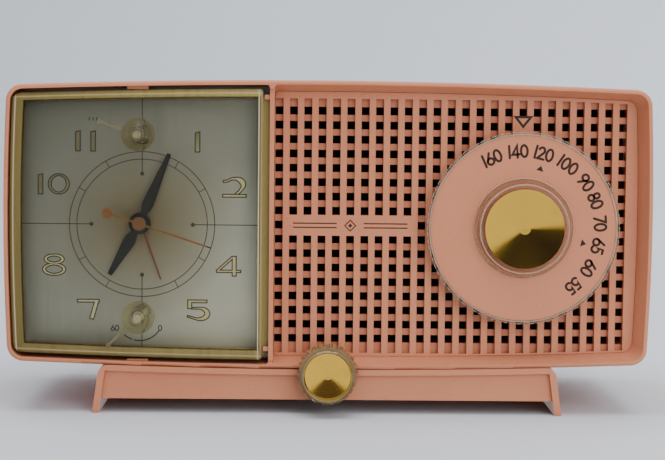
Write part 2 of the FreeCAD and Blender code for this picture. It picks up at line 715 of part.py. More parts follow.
def make_stand_screws():
    """Screws that come up through the deck of the stand into the cabinet floor."""
    screws = []
    for number, (x, y) in enumerate(stand_screw_places()):
        under = floor_height(abs(size(x))) - size("stand_deck") - 0.15
        shank = rod_z(f"stand_shank_{number}", x, y, "screw_radius", (str(under), "cabinet_bottom + 4"))
        head = rod_z(f"stand_head_{number}", x, y, "screw_head", (str(under - 2), str(under)))
        screws.append(fuse(f"stand_screw_{number}", shank, head))
    piece(group("base_screws", *screws), "base_screws")


def make_rear_cover():
    body = new_body("rear_cover")
    gap = size("wall") + 0.5
    cover = pillow_sketch(body, "cover_outline", "cover_front", gap, gap, size("corner_radius") - gap,
                          drawn_in("cover_front + cover_thickness"))
    grow(body, cover, "cover_thickness")
    vents = new_sketch(body, "vents", "XZ_Plane", "cover_front")
    half = size("vent_half")
    for count, (low, high) in ((UPPER_VENTS, UPPER_VENT_SPAN), (LOWER_VENTS, LOWER_VENT_SPAN)):
        for column in range(count):
            x = size("first_vent") + size("vent_pitch") * column
            add_outline(vents, [(x - half, low), (x + half, low), (x + half, high), (x - half, high)])
    pierce(body, vents, "cover_thickness")
    holes = new_sketch(body, "cover_holes", "XZ_Plane", "cover_front")
    for x, z in post_places():
        add_circle(holes, x, z, "screw_radius + screw_gap")
    for side in (-1, 1):
        add_circle(holes, "setting_x", f"mid_height + {side} * setting_rise", "setting_radius + 0.6")
    add_rectangle(holes, ("inlet_x - inlet_half_width", "inlet_x + inlet_half_width"),
                  ("inlet_z - inlet_half_height", "inlet_z + inlet_half_height"))
    pierce(body, holes, "cover_thickness")


def make_rear_screws():
    screws = []
    for number, (x, z) in enumerate(post_places()):
        face = "cover_front + cover_thickness"
        shank = rod_y(f"rear_shank_{number}", x, z, "screw_radius", ("cover_front - screw_depth", face))
        head = rod_y(f"rear_head_{number}", x, z, "screw_head", (face, f"{face} + 2"))
        screws.append(fuse(f"rear_screw_{number}", shank, head))
    piece(group("rear_cover_screws", *screws), "rear_cover_screws")


def make_inlet():
    """Mains inlet: a moulded socket with two pins in its recess, open at the back."""
    shell = box("inlet_shell", ("inlet_x - inlet_half_width + 0.2", "inlet_x + inlet_half_width - 0.2"),
                ("cover_front - 10", "cover_front + cover_thickness"),
                ("inlet_z - inlet_half_height + 0.2", "inlet_z + inlet_half_height - 0.2"))
    flange = box("inlet_flange", ("inlet_x - inlet_half_width - 3", "inlet_x + inlet_half_width + 3"),
                 ("cover_front - 2", "cover_front"),
                 ("inlet_z - inlet_half_height - 3", "inlet_z + inlet_half_height + 3"))
    recess = box("inlet_recess", ("inlet_x - inlet_half_width + 2", "inlet_x + inlet_half_width - 2"),
                 ("cover_front - 8", "cover_front + cover_thickness + 1"),
                 ("inlet_z - inlet_half_height + 2", "inlet_z + inlet_half_height - 2"))
    pins = [rod_y(f"inlet_pin_{side}", f"inlet_x + {side} * 5", "inlet_z", "1.2",
                  ("cover_front - 9", "cover_front + 1")) for side in (-1, 1)]
    socket = cut("inlet_socket", fuse("inlet_block", shell, flange), recess)
    piece(fuse("mains_inlet", socket, *pins), "mains_inlet")


# ---------------------------------------------------------------- fluted knobs

def scallops(radius, depth, count):
    """Closed ring of outward arcs whose valleys lie depth below the crests."""
    step = 2 * math.pi / count
    valley = radius - depth

    def at(angle, distance):
        return Vector(distance * math.sin(angle), distance * math.cos(angle), 0)
    return [Part.Arc(at(i * step, valley), at((i + 0.5) * step, radius), at((i + 1) * step, valley))
            for i in range(count)]


def fluted_sketch(body, name, offset, radius, depth, count):
    sketch = new_sketch(body, name, "XZ_Plane", offset)
    sketch.addGeometry(scallops(size(radius), depth, count))
    return sketch


# ---------------------------------------------------------------- tuning control

def make_tuning():
    turned_piece("tuning_dial", "tuning_x", "mid_height", [
        ("shaft_radius", "dial_front"), ("dial_radius", "dial_front"),
        ("dial_radius", "dial_front + dial_thickness"), ("hub_radius", "dial_front + dial_thickness"),
        ("hub_radius", "pan_back"), ("shaft_radius", "pan_back")])

    rim = new_body("tuning_dial_rim")
    ring = fluted_sketch(rim, "rim_flutes", "dial_front - 0.5", "dial_rim_radius", 0.35, RIM_FLUTES)
    add_circle(ring, "0", "0", "dial_radius + seat_gap")
    grow(rim, ring, "dial_thickness + 1")
    place_body(rim, "tuning_x", "mid_height")

    turned_piece("tuning_knob", "tuning_x", "mid_height", [
        ("shaft_radius + seat_gap", "dial_front - seat_gap"),
        ("tuning_ring_radius", "dial_front - seat_gap"),
        ("tuning_ring_radius - 0.8", "dial_front - 1.2"), ("tuning_ring_inner", "tuning_ring_front"),
        ("tuning_cap_radius + 0.6", "tuning_ring_front"),
        ("tuning_cap_radius + 0.4", "tuning_ring_front + 1.5"),
        ("shaft_radius + seat_gap", "tuning_ring_front + 1.5")])
    turned_piece("tuning_cap", "tuning_x", "mid_height", [
        ("0", "tuning_cap_front"), ("tuning_cap_radius", "tuning_ring_front"),
        ("tuning_cap_radius", "tuning_ring_front + 1.5 - seat_gap"),
        ("0", "tuning_ring_front + 1.5 - seat_gap")])
    turned_piece("tuning_shaft", "tuning_x", "mid_height", [
        ("0", "tuning_ring_front + 1.5"), ("shaft_radius", "tuning_ring_front + 1.5"),
        ("shaft_radius", "tuner_back + 1.5"), ("0", "tuner_back + 1.5")])

    rotor = new_body("tuner_rotor")
    sleeve = new_sketch(rotor, "sleeve", "XY_Plane")
    add_rectangle(sleeve, ("shaft_radius", "shaft_radius + 1.2"),
                  ("tuner_front + tuner_sheet + 0.4", "tuner_back - tuner_sheet - 0.4"))
    turn(rotor, sleeve)
    vane = new_sketch(rotor, "rotor_vane", "XZ_Plane", "tuner_front + tuner_sheet + 2.2")
    reach, inner = size("rotor_radius"), size("shaft_radius + 0.6")
    vane.addGeometry([
        Part.Arc(Vector(reach, 0, 0), Vector(0, reach, 0), Vector(-reach, 0, 0)),
        Part.LineSegment(Vector(-reach, 0, 0), Vector(-inner, 0, 0)),
        Part.Arc(Vector(-inner, 0, 0), Vector(0, inner, 0), Vector(inner, 0, 0)),
        Part.LineSegment(Vector(inner, 0, 0), Vector(reach, 0, 0))])
    pad = grow(rotor, vane, "vane")
    row = rotor.newObject("PartDesign::LinearPattern", "rotor_vanes")
    row.Originals = [pad]
    row.Direction = (vane, ["N_Axis"])
    row.Reversed = True
    row.Occurrences = 8
    bind(row, "Length", "7 * vane_pitch")
    rotor.Tip = row
    place_body(rotor, "tuning_x", "mid_height", "tuning_rest - 90")


def make_tuner():
    """Fixed half of the variable capacitor: a folded frame and a bank of stator vanes."""
    left, right = "tuning_x - tuner_half", "tuning_x + tuner_half"
    foot = "board_bottom + board_thickness"
    plates = [box(f"tuner_plate_{name}", (left, right), bounds, (foot, "mid_height + tuner_half"))
              for name, bounds in (("front", ("tuner_front", "tuner_front + tuner_sheet")),
                                   ("rear", ("tuner_back - tuner_sheet", "tuner_back")))]
    floor = box("tuner_floor", (left, right), ("tuner_front", "tuner_back"),
                ("mid_height - tuner_half - tuner_sheet", "mid_height - tuner_half"))
    bore = rod_y("tuner_bore", "tuning_x", "mid_height", "shaft_radius + shaft_gap",
                 ("tuner_front - 1", "tuner_back + 1"))
    piece(cut("tuner_frame", fuse("tuner_folds", floor, *plates), bore), "tuner_frame")

    vanes = []
    for number in range(9):
        start = f"tuner_front + tuner_sheet + 0.6 + {number} * vane_pitch"
        vanes.append(box(f"stator_vane_{number}", ("tuning_x - 19", "tuning_x - 5.2"),
                         (start, f"{start} + vane"), ("mid_height - 18.5", "mid_height + 18.5")))
    rods = [rod_y(f"stator_rod_{end}", "tuning_x - 17", f"mid_height + {end} * 16.5", "1.2",
                  ("tuner_front + tuner_sheet", "tuner_back - tuner_sheet")) for end in (-1, 1)]
    piece(fuse("tuner_stator", *vanes, *rods), "tuner_stator")


# ---------------------------------------------------------------- volume control

def make_volume():
    knob = new_body("volume_knob")
    loft(knob, "skirt",
         fluted_sketch(knob, "skirt_back", "volume_skirt_back", "volume_radius", 0.9, KNOB_FLUTES),
         fluted_sketch(knob, "skirt_front", "volume_skirt_front", "volume_radius - 1", 0.7, KNOB_FLUTES))
    lip = new_sketch(knob, "lip", "XY_Plane")
    add_polygon(lip, [("volume_cap_radius + 0.1", "volume_skirt_front + 0.5"),
                      ("volume_cap_radius + 1.8", "volume_skirt_front + 0.5"),
                      ("volume_cap_radius + 1.6", "volume_lip_front + 0.5"),
                      ("volume_cap_radius + 1.1", "volume_lip_front"),
                      ("volume_cap_radius + 0.5", "volume_lip_front + 0.3"),
                      ("volume_cap_radius + 0.1", "volume_cap_rim")])
    turn(knob, lip)
    bore = new_sketch(knob, "bore", "XY_Plane")
    add_rectangle(bore, ("0", "shaft_radius + seat_gap"), ("volume_skirt_front + 1.5", "volume_skirt_back"))
    turn(knob, bore, groove=True)
    place_body(knob, "0", "volume_z")

    turned_piece("volume_cap", "0", "volume_z", [
        ("0", "volume_cap_front"), ("volume_cap_radius", "volume_cap_rim"),
        ("volume_cap_radius", "volume_skirt_front - seat_gap"), ("0", "volume_skirt_front - seat_gap")])
    turned_piece("volume_shaft", "0", "volume_z", [
        ("0", "volume_skirt_front + 1.5 + seat_gap"), ("shaft_radius", "volume_skirt_front + 1.5 + seat_gap"),
        ("shaft_radius", "control_back - 3"), ("0", "control_back - 3")])
    turned_piece("volume_control", "0", "volume_z", [
        ("shaft_radius + shaft_gap", "grille_front"), ("bush_radius", "grille_front"),
        ("bush_radius", "control_front"), ("control_radius", "control_front"),
        ("control_radius", "control_back"), ("0", "control_back"), ("0", "control_back - 2"),
        ("shaft_radius + shaft_gap", "control_back - 2")])


# ---------------------------------------------------------------- clock

def make_crystal():
    body = new_body("clock_crystal")
    corner = size("corner_radius") - 3.5
    ends, sides, wall = size("clock_inset + 1.9"), size("clock_side_inset + 0.6"), size("crystal_wall")
    right = size("crystal_right")
    block = pillow_sketch(body, "crystal_outline", "crystal_front", ends, sides, corner, right=right)
    grow(body, block, "clock_dial_front - (crystal_front) - 1.2")
    soften(body, "crystal_round", lambda edge: edge.BoundBox.YMax < size("crystal_front") + 0.01)
    hollow = pillow_sketch(body, "crystal_hollow", "crystal_front + crystal_wall", ends + wall,
                           sides + wall, corner - 2, right=right - wall)
    pierce(body, hollow, "clock_dial_front - (crystal_front)")
    flange = new_sketch(body, "crystal_flange", "XZ_Plane", "flange_front")
    add_rectangle(flange, ("crystal_right - 1", "crystal_right + crystal_flange"),
                  ("mid_height - crystal_rise", "mid_height + crystal_rise"))
    grow(body, flange, "1.6")
    holes = new_sketch(body, "crystal_holes", "XZ_Plane", "crystal_front")
    for x, z in knob_places():
        add_circle(holes, x, z, "knob_shaft_radius + 0.5")
    pierce(body, holes, "crystal_wall")


def knob_places():
    return [("clock_x + selector_offset", "mid_height + selector_rise"),
            ("clock_x + sleep_offset", "mid_height - sleep_drop")]


def make_clock_dial():
    body = new_body("clock_dial")
    ends, sides = size("clock_inset + 0.8"), size("clock_side_inset + 0.4")
    plate = pillow_sketch(body, "dial_outline", "clock_dial_front", ends, sides,
                          size("corner_radius") - 3.5, right=size("divider_left - 0.4"))
    grow(body, plate, "dial_plate")
    holes = new_sketch(body, "dial_holes", "XZ_Plane", "clock_dial_front")
    add_circle(holes, "clock_x", "mid_height", "tube_bore")
    for x, z in knob_places():
        add_circle(holes, x, z, "knob_shaft_radius + 0.4")
    pierce(body, holes, "dial_plate")


def make_clear_knob(name, x, z, angle):
    """Clear waisted knob with a pointer arm, on a metal shaft."""
    knob = new_body(name + "_knob")
    section = new_sketch(knob, name + "_section", "XY_Plane")
    add_polygon(section, [
        ("0", "knob_front"), ("knob_tip_radius - 0.8", "knob_front"),
        ("knob_tip_radius", "knob_front + 0.8"), ("knob_tip_radius + 0.2", "knob_front + 3.6"),
        ("knob_ring_radius - 1.6", "knob_back - 2.2"), ("knob_ring_radius", "knob_back - 1.4"),
        ("knob_ring_radius", "knob_back"), ("0", "knob_back")])
    turn(knob, section)
    arm = new_sketch(knob, name + "_arm", "XZ_Plane", "knob_back - 1.3")
    add_polygon(arm, [("-1.1", "knob_ring_radius - 1.5"), ("1.1", "knob_ring_radius - 1.5"),
                      ("0.6", "pointer_reach"), ("-0.6", "pointer_reach")])
    grow(knob, arm, "1.2")
    bead = new_sketch(knob, name + "_bead", "XZ_Plane", "knob_back - 1.5")
    add_circle(bead, "0", "pointer_reach", "1.3")
    grow(knob, bead, "1.5")
    bore = new_sketch(knob, name + "_bore", "XY_Plane")
    add_rectangle(bore, ("0", "knob_shaft_radius + seat_gap"), ("knob_front + 1.6", "knob_back"))
    turn(knob, bore, groove=True)
    place_body(knob, x, z, angle)
    turned_piece(name + "_shaft", x, z, [
        ("0", "knob_front + 1.6 + seat_gap"), ("knob_shaft_radius", "knob_front + 1.6 + seat_gap"),
        ("knob_shaft_radius", "switch_back - 4"), ("0", "switch_back - 4")])


def make_hand(name, points, front, thickness, boss, bore, angle):
    """Flat hand drawn pointing up, with a round boss, turned to its setting."""
    body = new_body(name)
    blade = new_sketch(body, name + "_blade", "XZ_Plane", front)
    add_polygon(blade, points)
    grow(body, blade, thickness)
    disc = new_sketch(body, name + "_boss", "XZ_Plane", f"{front} - 0.2")
    add_circle(disc, "0", "0", boss)
    grow(body, disc, f"{thickness} + 0.4")
    if bore:
        hole = new_sketch(body, name + "_bore", "XZ_Plane", f"{front} - 0.2")
        add_circle(hole, "0", "0", bore)
        pierce(body, hole, f"{thickness} + 0.4")
    place_body(body, "clock_x", "mid_height", angle)
    return body


def make_wheel(name, x, z, y, radius, teeth, tube_outer, tube_inner, tube):
    """Toothed wheel on a tube or a shaft; y and tube are bounds along Y."""
    wheel = new_body(name)
    stem = new_sketch(wheel, name + "_stem", "XY_Plane")
    add_rectangle(stem, (tube_inner, tube_outer), tube)
    turn(wheel, stem)
    rim = new_sketch(wheel, name + "_teeth", "XZ_Plane", y[0])
    outer, root, step = size(radius), size(radius) - 1.1, 2 * math.pi / teeth
    profile = []
    for tooth in range(teeth):
        for share, reach in ((0.0, root), (0.25, outer), (0.5, outer), (0.75, root)):
            angle = (tooth + share) * step
            profile.append((reach * math.sin(angle), reach * math.cos(angle)))
    add_outline(rim, profile)
    add_circle(rim, "0", "0", f"{tube_outer} - 0.2")
    grow(wheel, rim, f"{y[1]} - ({y[0]})")
    place_body(wheel, x, z)
    return wheel


def make_hands():
    make_hand("alarm_hand", [("-0.5", "4"), ("0.5", "4"), ("0.35", "alarm_length"),
                             ("-0.35", "alarm_length")],
              "alarm_plane", "0.4", "alarm_tube + 0.6", "alarm_tube", "alarm_angle")
    make_hand("hour_hand", [("-1.2", "3.5"), ("1.2", "3.5"), ("3.1", "9.5"), ("1.1", "hour_length"),
                            ("-1.1", "hour_length"), ("-3.1", "9.5")],
              "hour_plane", "0.6", "5.2", "hour_tube", "hour_angle")
    make_hand("minute_hand", [("-1.2", "3.5"), ("1.2", "3.5"), ("2.85", "10"), ("0.95", "minute_length"),
                              ("-0.95", "minute_length"), ("-2.85", "10")],
              "minute_plane", "0.6", "5.2", "minute_tube", "minute_angle")

    second = make_hand("second_hand", [("-0.45", "-16"), ("0.45", "-16"), ("0.45", "second_length - 6"),
                                       ("0.25", "second_length"), ("-0.25", "second_length"),
                                       ("-0.45", "second_length - 6")],
                       "second_plane", "0.4", "3.2", None, "second_angle")
    weight = new_sketch(second, "counterweight", "XZ_Plane", "second_plane")
    add_circle(weight, "0", "-16", "2.5")
    grow(second, weight, "0.4")
    arbor = new_sketch(second, "arbor", "XY_Plane")
    add_rectangle(arbor, ("0", "second_arbor"), ("second_plane", "case_back - 1.6"))
    turn(second, arbor)

    axis = ("clock_x", "mid_height")
    make_wheel("alarm_wheel", *axis, ("alarm_gear", "alarm_gear + 1.5"), "wheel_radius", 60,
               "alarm_tube", "hour_tube + tube_gap", ("alarm_plane - 0.2", "alarm_gear + 1.5"))
    make_wheel("hour_wheel", *axis, ("hour_gear", "hour_gear + 1.5"), "wheel_radius - 1.5", 56,
               "hour_tube", "minute_tube + tube_gap", ("hour_plane - 0.2", "hour_gear + 1.5"))
    make_wheel("minute_wheel", *axis, ("minute_gear", "minute_gear + 1.5"), "wheel_radius", 60,
               "minute_tube", "second_arbor + tube_gap", ("minute_plane - 0.2", "minute_gear + 1.5"))


def make_setting(name, side, gear):
    """Setting shaft with its pinion, and the knob at the back."""
    place = ("setting_x", f"mid_height + {side} * setting_rise")
    make_wheel(name + "_shaft", *place, (gear, f"{gear} + 1.5"), "pinion_radius", 30,
               "setting_radius", "0", (f"{gear} - 1", "setting_knob_back - 3"))
    knob = new_body(name + "_knob")
    grow(knob, fluted_sketch(knob, name + "_grip", "setting_knob_front", "setting_knob_radius", 0.5,
                                 SETTING_FLUTES),
         "setting_knob_back - setting_knob_front")
    bore = new_sketch(knob, name + "_knob_bore", "XY_Plane")
    add_rectangle(bore, ("0", "setting_radius"), ("setting_knob_front", "setting_knob_back - 3"))
    turn(knob, bore, groove=True)
    place_body(knob, *place)


def make_movement():
    """Plate, gear case, motor and the two switches that the front knobs turn."""
    plate = box("movement_sheet", ("clock_x - movement_half_width", "clock_x + movement_half_width"),
                ("movement_front", "movement_front + movement_plate"),
                ("mid_height - movement_half_height", "mid_height + movement_half_height"))
    bounds = ("movement_front - 1", "movement_front + movement_plate + 1")
    holes = [rod_y("movement_bore", "clock_x", "mid_height", "tube_bore", bounds)]
    for number, (x, z) in enumerate(knob_places()):
        holes.append(rod_y(f"movement_knob_hole_{number}", x, z, "knob_shaft_radius + 0.4", bounds))
    piece(cut("movement_plate", plate, *holes), "movement_plate")

    front = "movement_front + movement_plate"
    left, right = "clock_x - case_half", "clock_x + case_reach"
    shell = box("case_shell", (left, right), (front, "case_back"),
                ("mid_height - case_half", "mid_height + case_half"))
    inside = box("case_inside", (f"{left} + case_wall", f"{right} - case_wall"),
                 (f"{front} - 1", "case_back - case_wall"),
                 ("mid_height - case_half + case_wall", "mid_height + case_half - case_wall"))
    bounds = ("case_back - 3", "case_back + 1")
    bores = [rod_y("arbor_bearing", "clock_x", "mid_height", "second_arbor + tube_gap", bounds)]
    for side in (-1, 1):
        bores.append(rod_y(f"setting_bearing_{side}", "setting_x", f"mid_height + {side} * setting_rise",
                           "setting_radius + tube_gap", bounds))
    piece(cut("movement_case", shell, inside, *bores), "movement_case")

    core = box("core_block", ("clock_x - 50", "clock_x + 20"), ("case_back", "case_back + 10"),
               ("mid_height - 28", "mid_height + 28"))
    throat = box("core_throat", ("clock_x - 40", "clock_x + 21"), ("case_back - 1", "case_back + 11"),
                 ("mid_height - 18", "mid_height + 18"))
    piece(cut("motor_core", core, throat), "motor_core")
    coil = box("coil_block", ("clock_x - 55", "clock_x - 34.5"), ("case_back - 5", "case_back + 15"),
               ("mid_height - 17", "mid_height + 17"))
    limb = box("coil_window", ("clock_x - 50.1", "clock_x - 39.9"), ("case_back - 0.1", "case_back + 10.1"),
               ("mid_height - 18", "mid_height + 18"))
    piece(cut("motor_coil", coil, limb), "motor_coil")
    turned_piece("motor_rotor_can", "clock_x + 2", "mid_height", [
        ("0", "case_back"), ("17.5", "case_back"), ("17.5", "case_back + 9"),
        ("15", "case_back + 12"), ("0", "case_back + 12")])

    for name, (x, z) in zip(("alarm_switch", "sleep_timer"), knob_places()):
        block = box(name + "_block", (f"{x} - 13", f"{x} + 13"), (front, "switch_back"),
                    (f"{z} - switch_half", f"{z} + switch_half"))
        bore = rod_y(name + "_bore", x, z, "knob_shaft_radius + shaft_gap",
                     (f"{front} - 1", "switch_back - 3"))
        piece(cut(name, block, bore), name)


# ---------------------------------------------------------------- speaker

def make_speaker():
    cloth = box("cloth_block", ("divider_right + 0.5", "grille_right - ledge - 6"),
                ("pan_back - 0.6", "pan_back"), ("mid_height - 56.5", "mid_height + 56.5"))
    hub = rod_y("cloth_hole", "tuning_x", "mid_height", "hub_radius + 2", ("pan_back - 2", "pan_back + 2"))
    piece(cut("grille_cloth_sheet", cloth, hub), "grille_cloth")
    board = box("baffle_board", ("divider_right - 4", "grille_right - 5"),
                ("pan_back", "pan_back + baffle_thickness"), ("mid_height - 59", "mid_height + 60"))
    bounds = ("pan_back - 1", "pan_back + baffle_thickness + 1")
    mouth = rod_y("baffle_mouth", "speaker_x", "speaker_z", "speaker_radius - 6", bounds)
    hole = rod_y("baffle_hub", "tuning_x", "mid_height", "hub_radius + 2", bounds)
    holes = [rod_y(f"baffle_screw_{number}", x, z, "screw_radius + screw_gap", bounds)
             for number, (x, z) in enumerate(speaker_screw_places())]
    piece(cut("speaker_baffle", board, mouth, hole, *holes), "speaker_baffle")

    back = "pan_back + baffle_thickness"
    frame = turned_piece("speaker_frame", "speaker_x", "speaker_z", [
        ("speaker_radius", back), ("speaker_radius", f"{back} + 1.5"),
        ("speaker_radius - 5.5", f"{back} + 1.5"), ("19", f"{back} + 23"), ("19", f"{back} + 24.5"),
        ("5", f"{back} + 24.5"), ("5", f"{back} + 23"), ("17.8", f"{back} + 23"),
        ("speaker_radius - 7", back)])
    screw_holes = new_sketch(frame, "frame_holes", "XZ_Plane", back)
    for x, z in speaker_screw_places():
        add_circle(screw_holes, f"{x} - speaker_x", f"{z} - speaker_z", "screw_radius + screw_gap")
    pierce(frame, screw_holes, "2")
    turned_piece("speaker_cone", "speaker_x", "speaker_z", [
        ("speaker_radius - 8.4", f"{back} + 0.8"), ("speaker_radius - 9.2", f"{back} + 1.8"),
        ("8.5", f"{back} + 19"), ("8.5", f"{back} + 22.4"), ("7.5", f"{back} + 22.4"),
        ("7.5", f"{back} + 17"), ("0", f"{back} + 15.4"), ("0", f"{back} + 14.6"),
        ("8.2", f"{back} + 16.4"), ("speaker_radius - 9.6", f"{back} + 0.8")])
    turned_piece("speaker_magnet", "speaker_x", "speaker_z", [
        ("0", f"{back} + 24.5"), ("18", f"{back} + 24.5"), ("18", f"{back} + 33"),
        ("16", f"{back} + 36"), ("0", f"{back} + 36")])
    screws = []
    for number, (x, z) in enumerate(speaker_screw_places()):
        shank = rod_y(f"speaker_shank_{number}", x, z, "screw_radius", ("pan_back + 0.2", f"{back} + 1.5"))
        nut = rod_y(f"speaker_nut_{number}", x, z, "2.5", (f"{back} + 1.5", f"{back} + 3.5"))
        screws.append(fuse(f"speaker_screw_{number}", shank, nut))
    piece(group("speaker_screws", *screws), "speaker_screws")


def speaker_screw_places():
    return [(f"speaker_x + {side} * 30.8", f"speaker_z + {end} * 30.8")
            for side in (-1, 1) for end in (-1, 1)]


# ---------------------------------------------------------------- chassis

def make_chassis():
    sheet_bounds = ("chassis_top - chassis_sheet", "chassis_top")
    across = ("chassis_left", "chassis_right")
    parts = [
        box("chassis_deck", across, ("chassis_front", "chassis_rear"), sheet_bounds),
        box("chassis_front_flange", across, ("chassis_front", "chassis_front + chassis_sheet"),
            ("chassis_bottom", "chassis_top")),
        box("chassis_rear_flange", across, ("chassis_rear - chassis_sheet", "chassis_rear"),
            ("chassis_bottom", "chassis_top")),
        box("bracket_arm", ("-13", "13"), ("control_front - chassis_sheet", "chassis_front + 0.5"),
            sheet_bounds),
        box("bracket_face", ("-13", "13"), ("control_front - chassis_sheet", "control_front"),
            ("volume_z - 9", "chassis_top"))]
    for x in ("chassis_left + 6", "chassis_right - 6"):
        for y in ("chassis_front + 8", "chassis_rear - 10"):
            parts.append(rod_z(f"standoff_{len(parts)}", x, y, "3", ("chassis_top - 0.6", "board_bottom")))
    bore = rod_y("bracket_bore", "0", "volume_z", "bush_radius + 0.05",
                 ("control_front - 5", "control_front + 1"))
    piece(cut("chassis", fuse("chassis_folds", *parts), bore), "chassis")
    piece(box("circuit_board", ("chassis_left + 1", "chassis_right - 1"),
              ("chassis_front + 4", "chassis_rear - 5"),
              ("board_bottom", "board_bottom + board_thickness")), "circuit_board")


SMALL_VALVES = [("2", "28"), ("27", "32"), ("52", "28")]
POWER_VALVES = [("126", "11"), ("126", "34")]


def make_valves():
    foot = "board_bottom + board_thickness"
    sockets = [rod_z(f"socket_{number}", x, y, "socket_radius", (foot, f"{foot} + socket_height"))
               for number, (x, y) in enumerate(SMALL_VALVES + POWER_VALVES)]
    piece(group("valve_sockets", *sockets), "valve_sockets")
    for label, places, height in (("small_valves", SMALL_VALVES, "46"), ("power_valves", POWER_VALVES, "58")):
        bulbs = []
        for number, (x, y) in enumerate(places):
            base = f"{foot} + socket_height"
            glass = rod_z(f"{label}_glass_{number}", x, y, "valve_radius", (base, f"{base} + {height} - 6"))
            dome = doc.addObject("Part::Cone", f"{label}_dome_{number}")
            bind(dome, "Radius1", "valve_radius")
            dome.Radius2 = 2
            dome.Height = 6
            bind(dome, "Placement.Base.x", x)
            bind(dome, "Placement.Base.y", y)
            bind(dome, "Placement.Base.z", f"{base} + {height} - 6")
            bulbs.append(fuse(f"{label}_bulb_{number}", glass, dome))
        piece(group(label, *bulbs), label)


def make_board_parts():
    foot = "board_bottom + board_thickness"
    cans = [box(f"if_can_{number}", (f"{x} - 8.5", f"{x} + 8.5"), (f"{y} - 8.5", f"{y} + 8.5"),
                (foot, f"{foot} + 40")) for number, (x, y) in enumerate((("62", "4"), ("126", "-9")))]
    piece(group("if_cans", *cans), "if_cans")
    core = box("output_core", ("78", "108"), ("-16", "2"), (foot, f"{foot} + 25"))
    winding = box("output_winding", ("84", "102"), ("-19", "5"), (f"{foot} + 5", f"{foot} + 20"))
    piece(fuse("output_transformer", core, winding), "output_transformer")
    piece(rod_z("electrolytic_can", "-7", "8", "9.5", (foot, f"{foot} + 55")), "electrolytic_can")
    piece(rod_x("antenna_rod", "antenna_y", "antenna_z", "4.5", ("-25", "115")), "antenna_rod")
    coil = rod_x("antenna_winding", "antenna_y", "antenna_z", "6", ("25", "65"))
    bore = rod_x("antenna_coil_bore", "antenna_y", "antenna_z", "4.5", ("24", "66"))
    piece(cut("antenna_coil", coil, bore), "antenna_coil")
    clips = []
    for number, x in enumerate(("0", "90")):
        block = box(f"clip_block_{number}", (f"{x} - 2.5", f"{x} + 2.5"), ("antenna_y - 7", "cover_front"),
                    ("antenna_z - 7", "antenna_z + 7"))
        hole = rod_x(f"clip_hole_{number}", "antenna_y", "antenna_z", "4.55", (f"{x} - 4", f"{x} + 4"))
        clips.append(cut(f"antenna_clip_{number}", block, hole))
    piece(group("antenna_clips", *clips), "antenna_clips")


# ---------------------------------------------------------------- assembly

CUTTERS = ("PartDesign::Pocket", "PartDesign::Groove", "PartDesign::SubtractiveLoft")


def check_document():
    """Stops if a feature failed, a cutter missed its body, or a sub-part isn't sound."""
    for obj in doc.Objects:
        if {"Invalid", "Error"} & set(obj.State):
            raise RuntimeError(f"{obj.Name} failed: {obj.State}")
        if obj.TypeId in CUTTERS and obj.BaseFeature.Shape.Volume - obj.Shape.Volume < 0.01:
            raise RuntimeError(f"{obj.Name} cuts nothing")
    for obj in pieces:
        if obj.Shape.isNull() or not obj.Shape.isValid():
            raise RuntimeError(f"{obj.Label} has no sound shape")


make_cabinet()
make_grille()
make_stand()
make_stand_screws()
make_rear_cover()
make_rear_screws()
make_inlet()
make_tuning()
make_tuner()
make_volume()
make_crystal()
make_clock_dial()
for knob_name, knob_place, knob_angle in zip(("selector", "sleep"), knob_places(),
                                             ("selector_angle", "sleep_angle")):
    make_clear_knob(knob_name, *knob_place, knob_angle)
make_hands()
make_setting("time_set", 1, "minute_gear")
make_setting("alarm_set", -1, "alarm_gear")
make_movement()
make_speaker()
make_chassis()
make_valves()
make_board_parts()
doc.recompute()
check_document()
for obj in pieces:
    obj.Shape.exportStep(f"parts/{obj.Label}.step")
print(len(pieces), "sub-parts written")
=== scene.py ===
import bpy
import bmesh
import json
import math
from mathutils import Matrix, Vector


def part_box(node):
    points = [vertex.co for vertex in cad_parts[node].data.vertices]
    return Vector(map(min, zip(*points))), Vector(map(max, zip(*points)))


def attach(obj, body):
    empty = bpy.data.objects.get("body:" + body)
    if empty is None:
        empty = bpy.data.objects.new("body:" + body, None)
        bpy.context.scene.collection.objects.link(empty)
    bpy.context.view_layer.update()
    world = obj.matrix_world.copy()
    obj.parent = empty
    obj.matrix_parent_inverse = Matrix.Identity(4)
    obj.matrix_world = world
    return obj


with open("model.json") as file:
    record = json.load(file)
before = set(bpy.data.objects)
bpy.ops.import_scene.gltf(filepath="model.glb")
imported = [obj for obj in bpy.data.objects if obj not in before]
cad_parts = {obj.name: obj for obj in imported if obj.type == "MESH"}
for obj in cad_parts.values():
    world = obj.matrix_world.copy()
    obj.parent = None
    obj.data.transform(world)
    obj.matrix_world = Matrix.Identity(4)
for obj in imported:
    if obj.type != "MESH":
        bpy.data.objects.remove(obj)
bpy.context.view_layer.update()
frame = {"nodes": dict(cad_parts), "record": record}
MM = 0.001

# ---------------------------------------------------------------- places, in millimetres

def middle(node):
    """X and Z of the middle of a node."""
    low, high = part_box(node)
    return tuple(round((low[i] + high[i]) / 2 / MM, 2) for i in (0, 2))


def front_of(node):
    """Y of the front of a node."""
    return round(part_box(node)[0][1] / MM, 2)


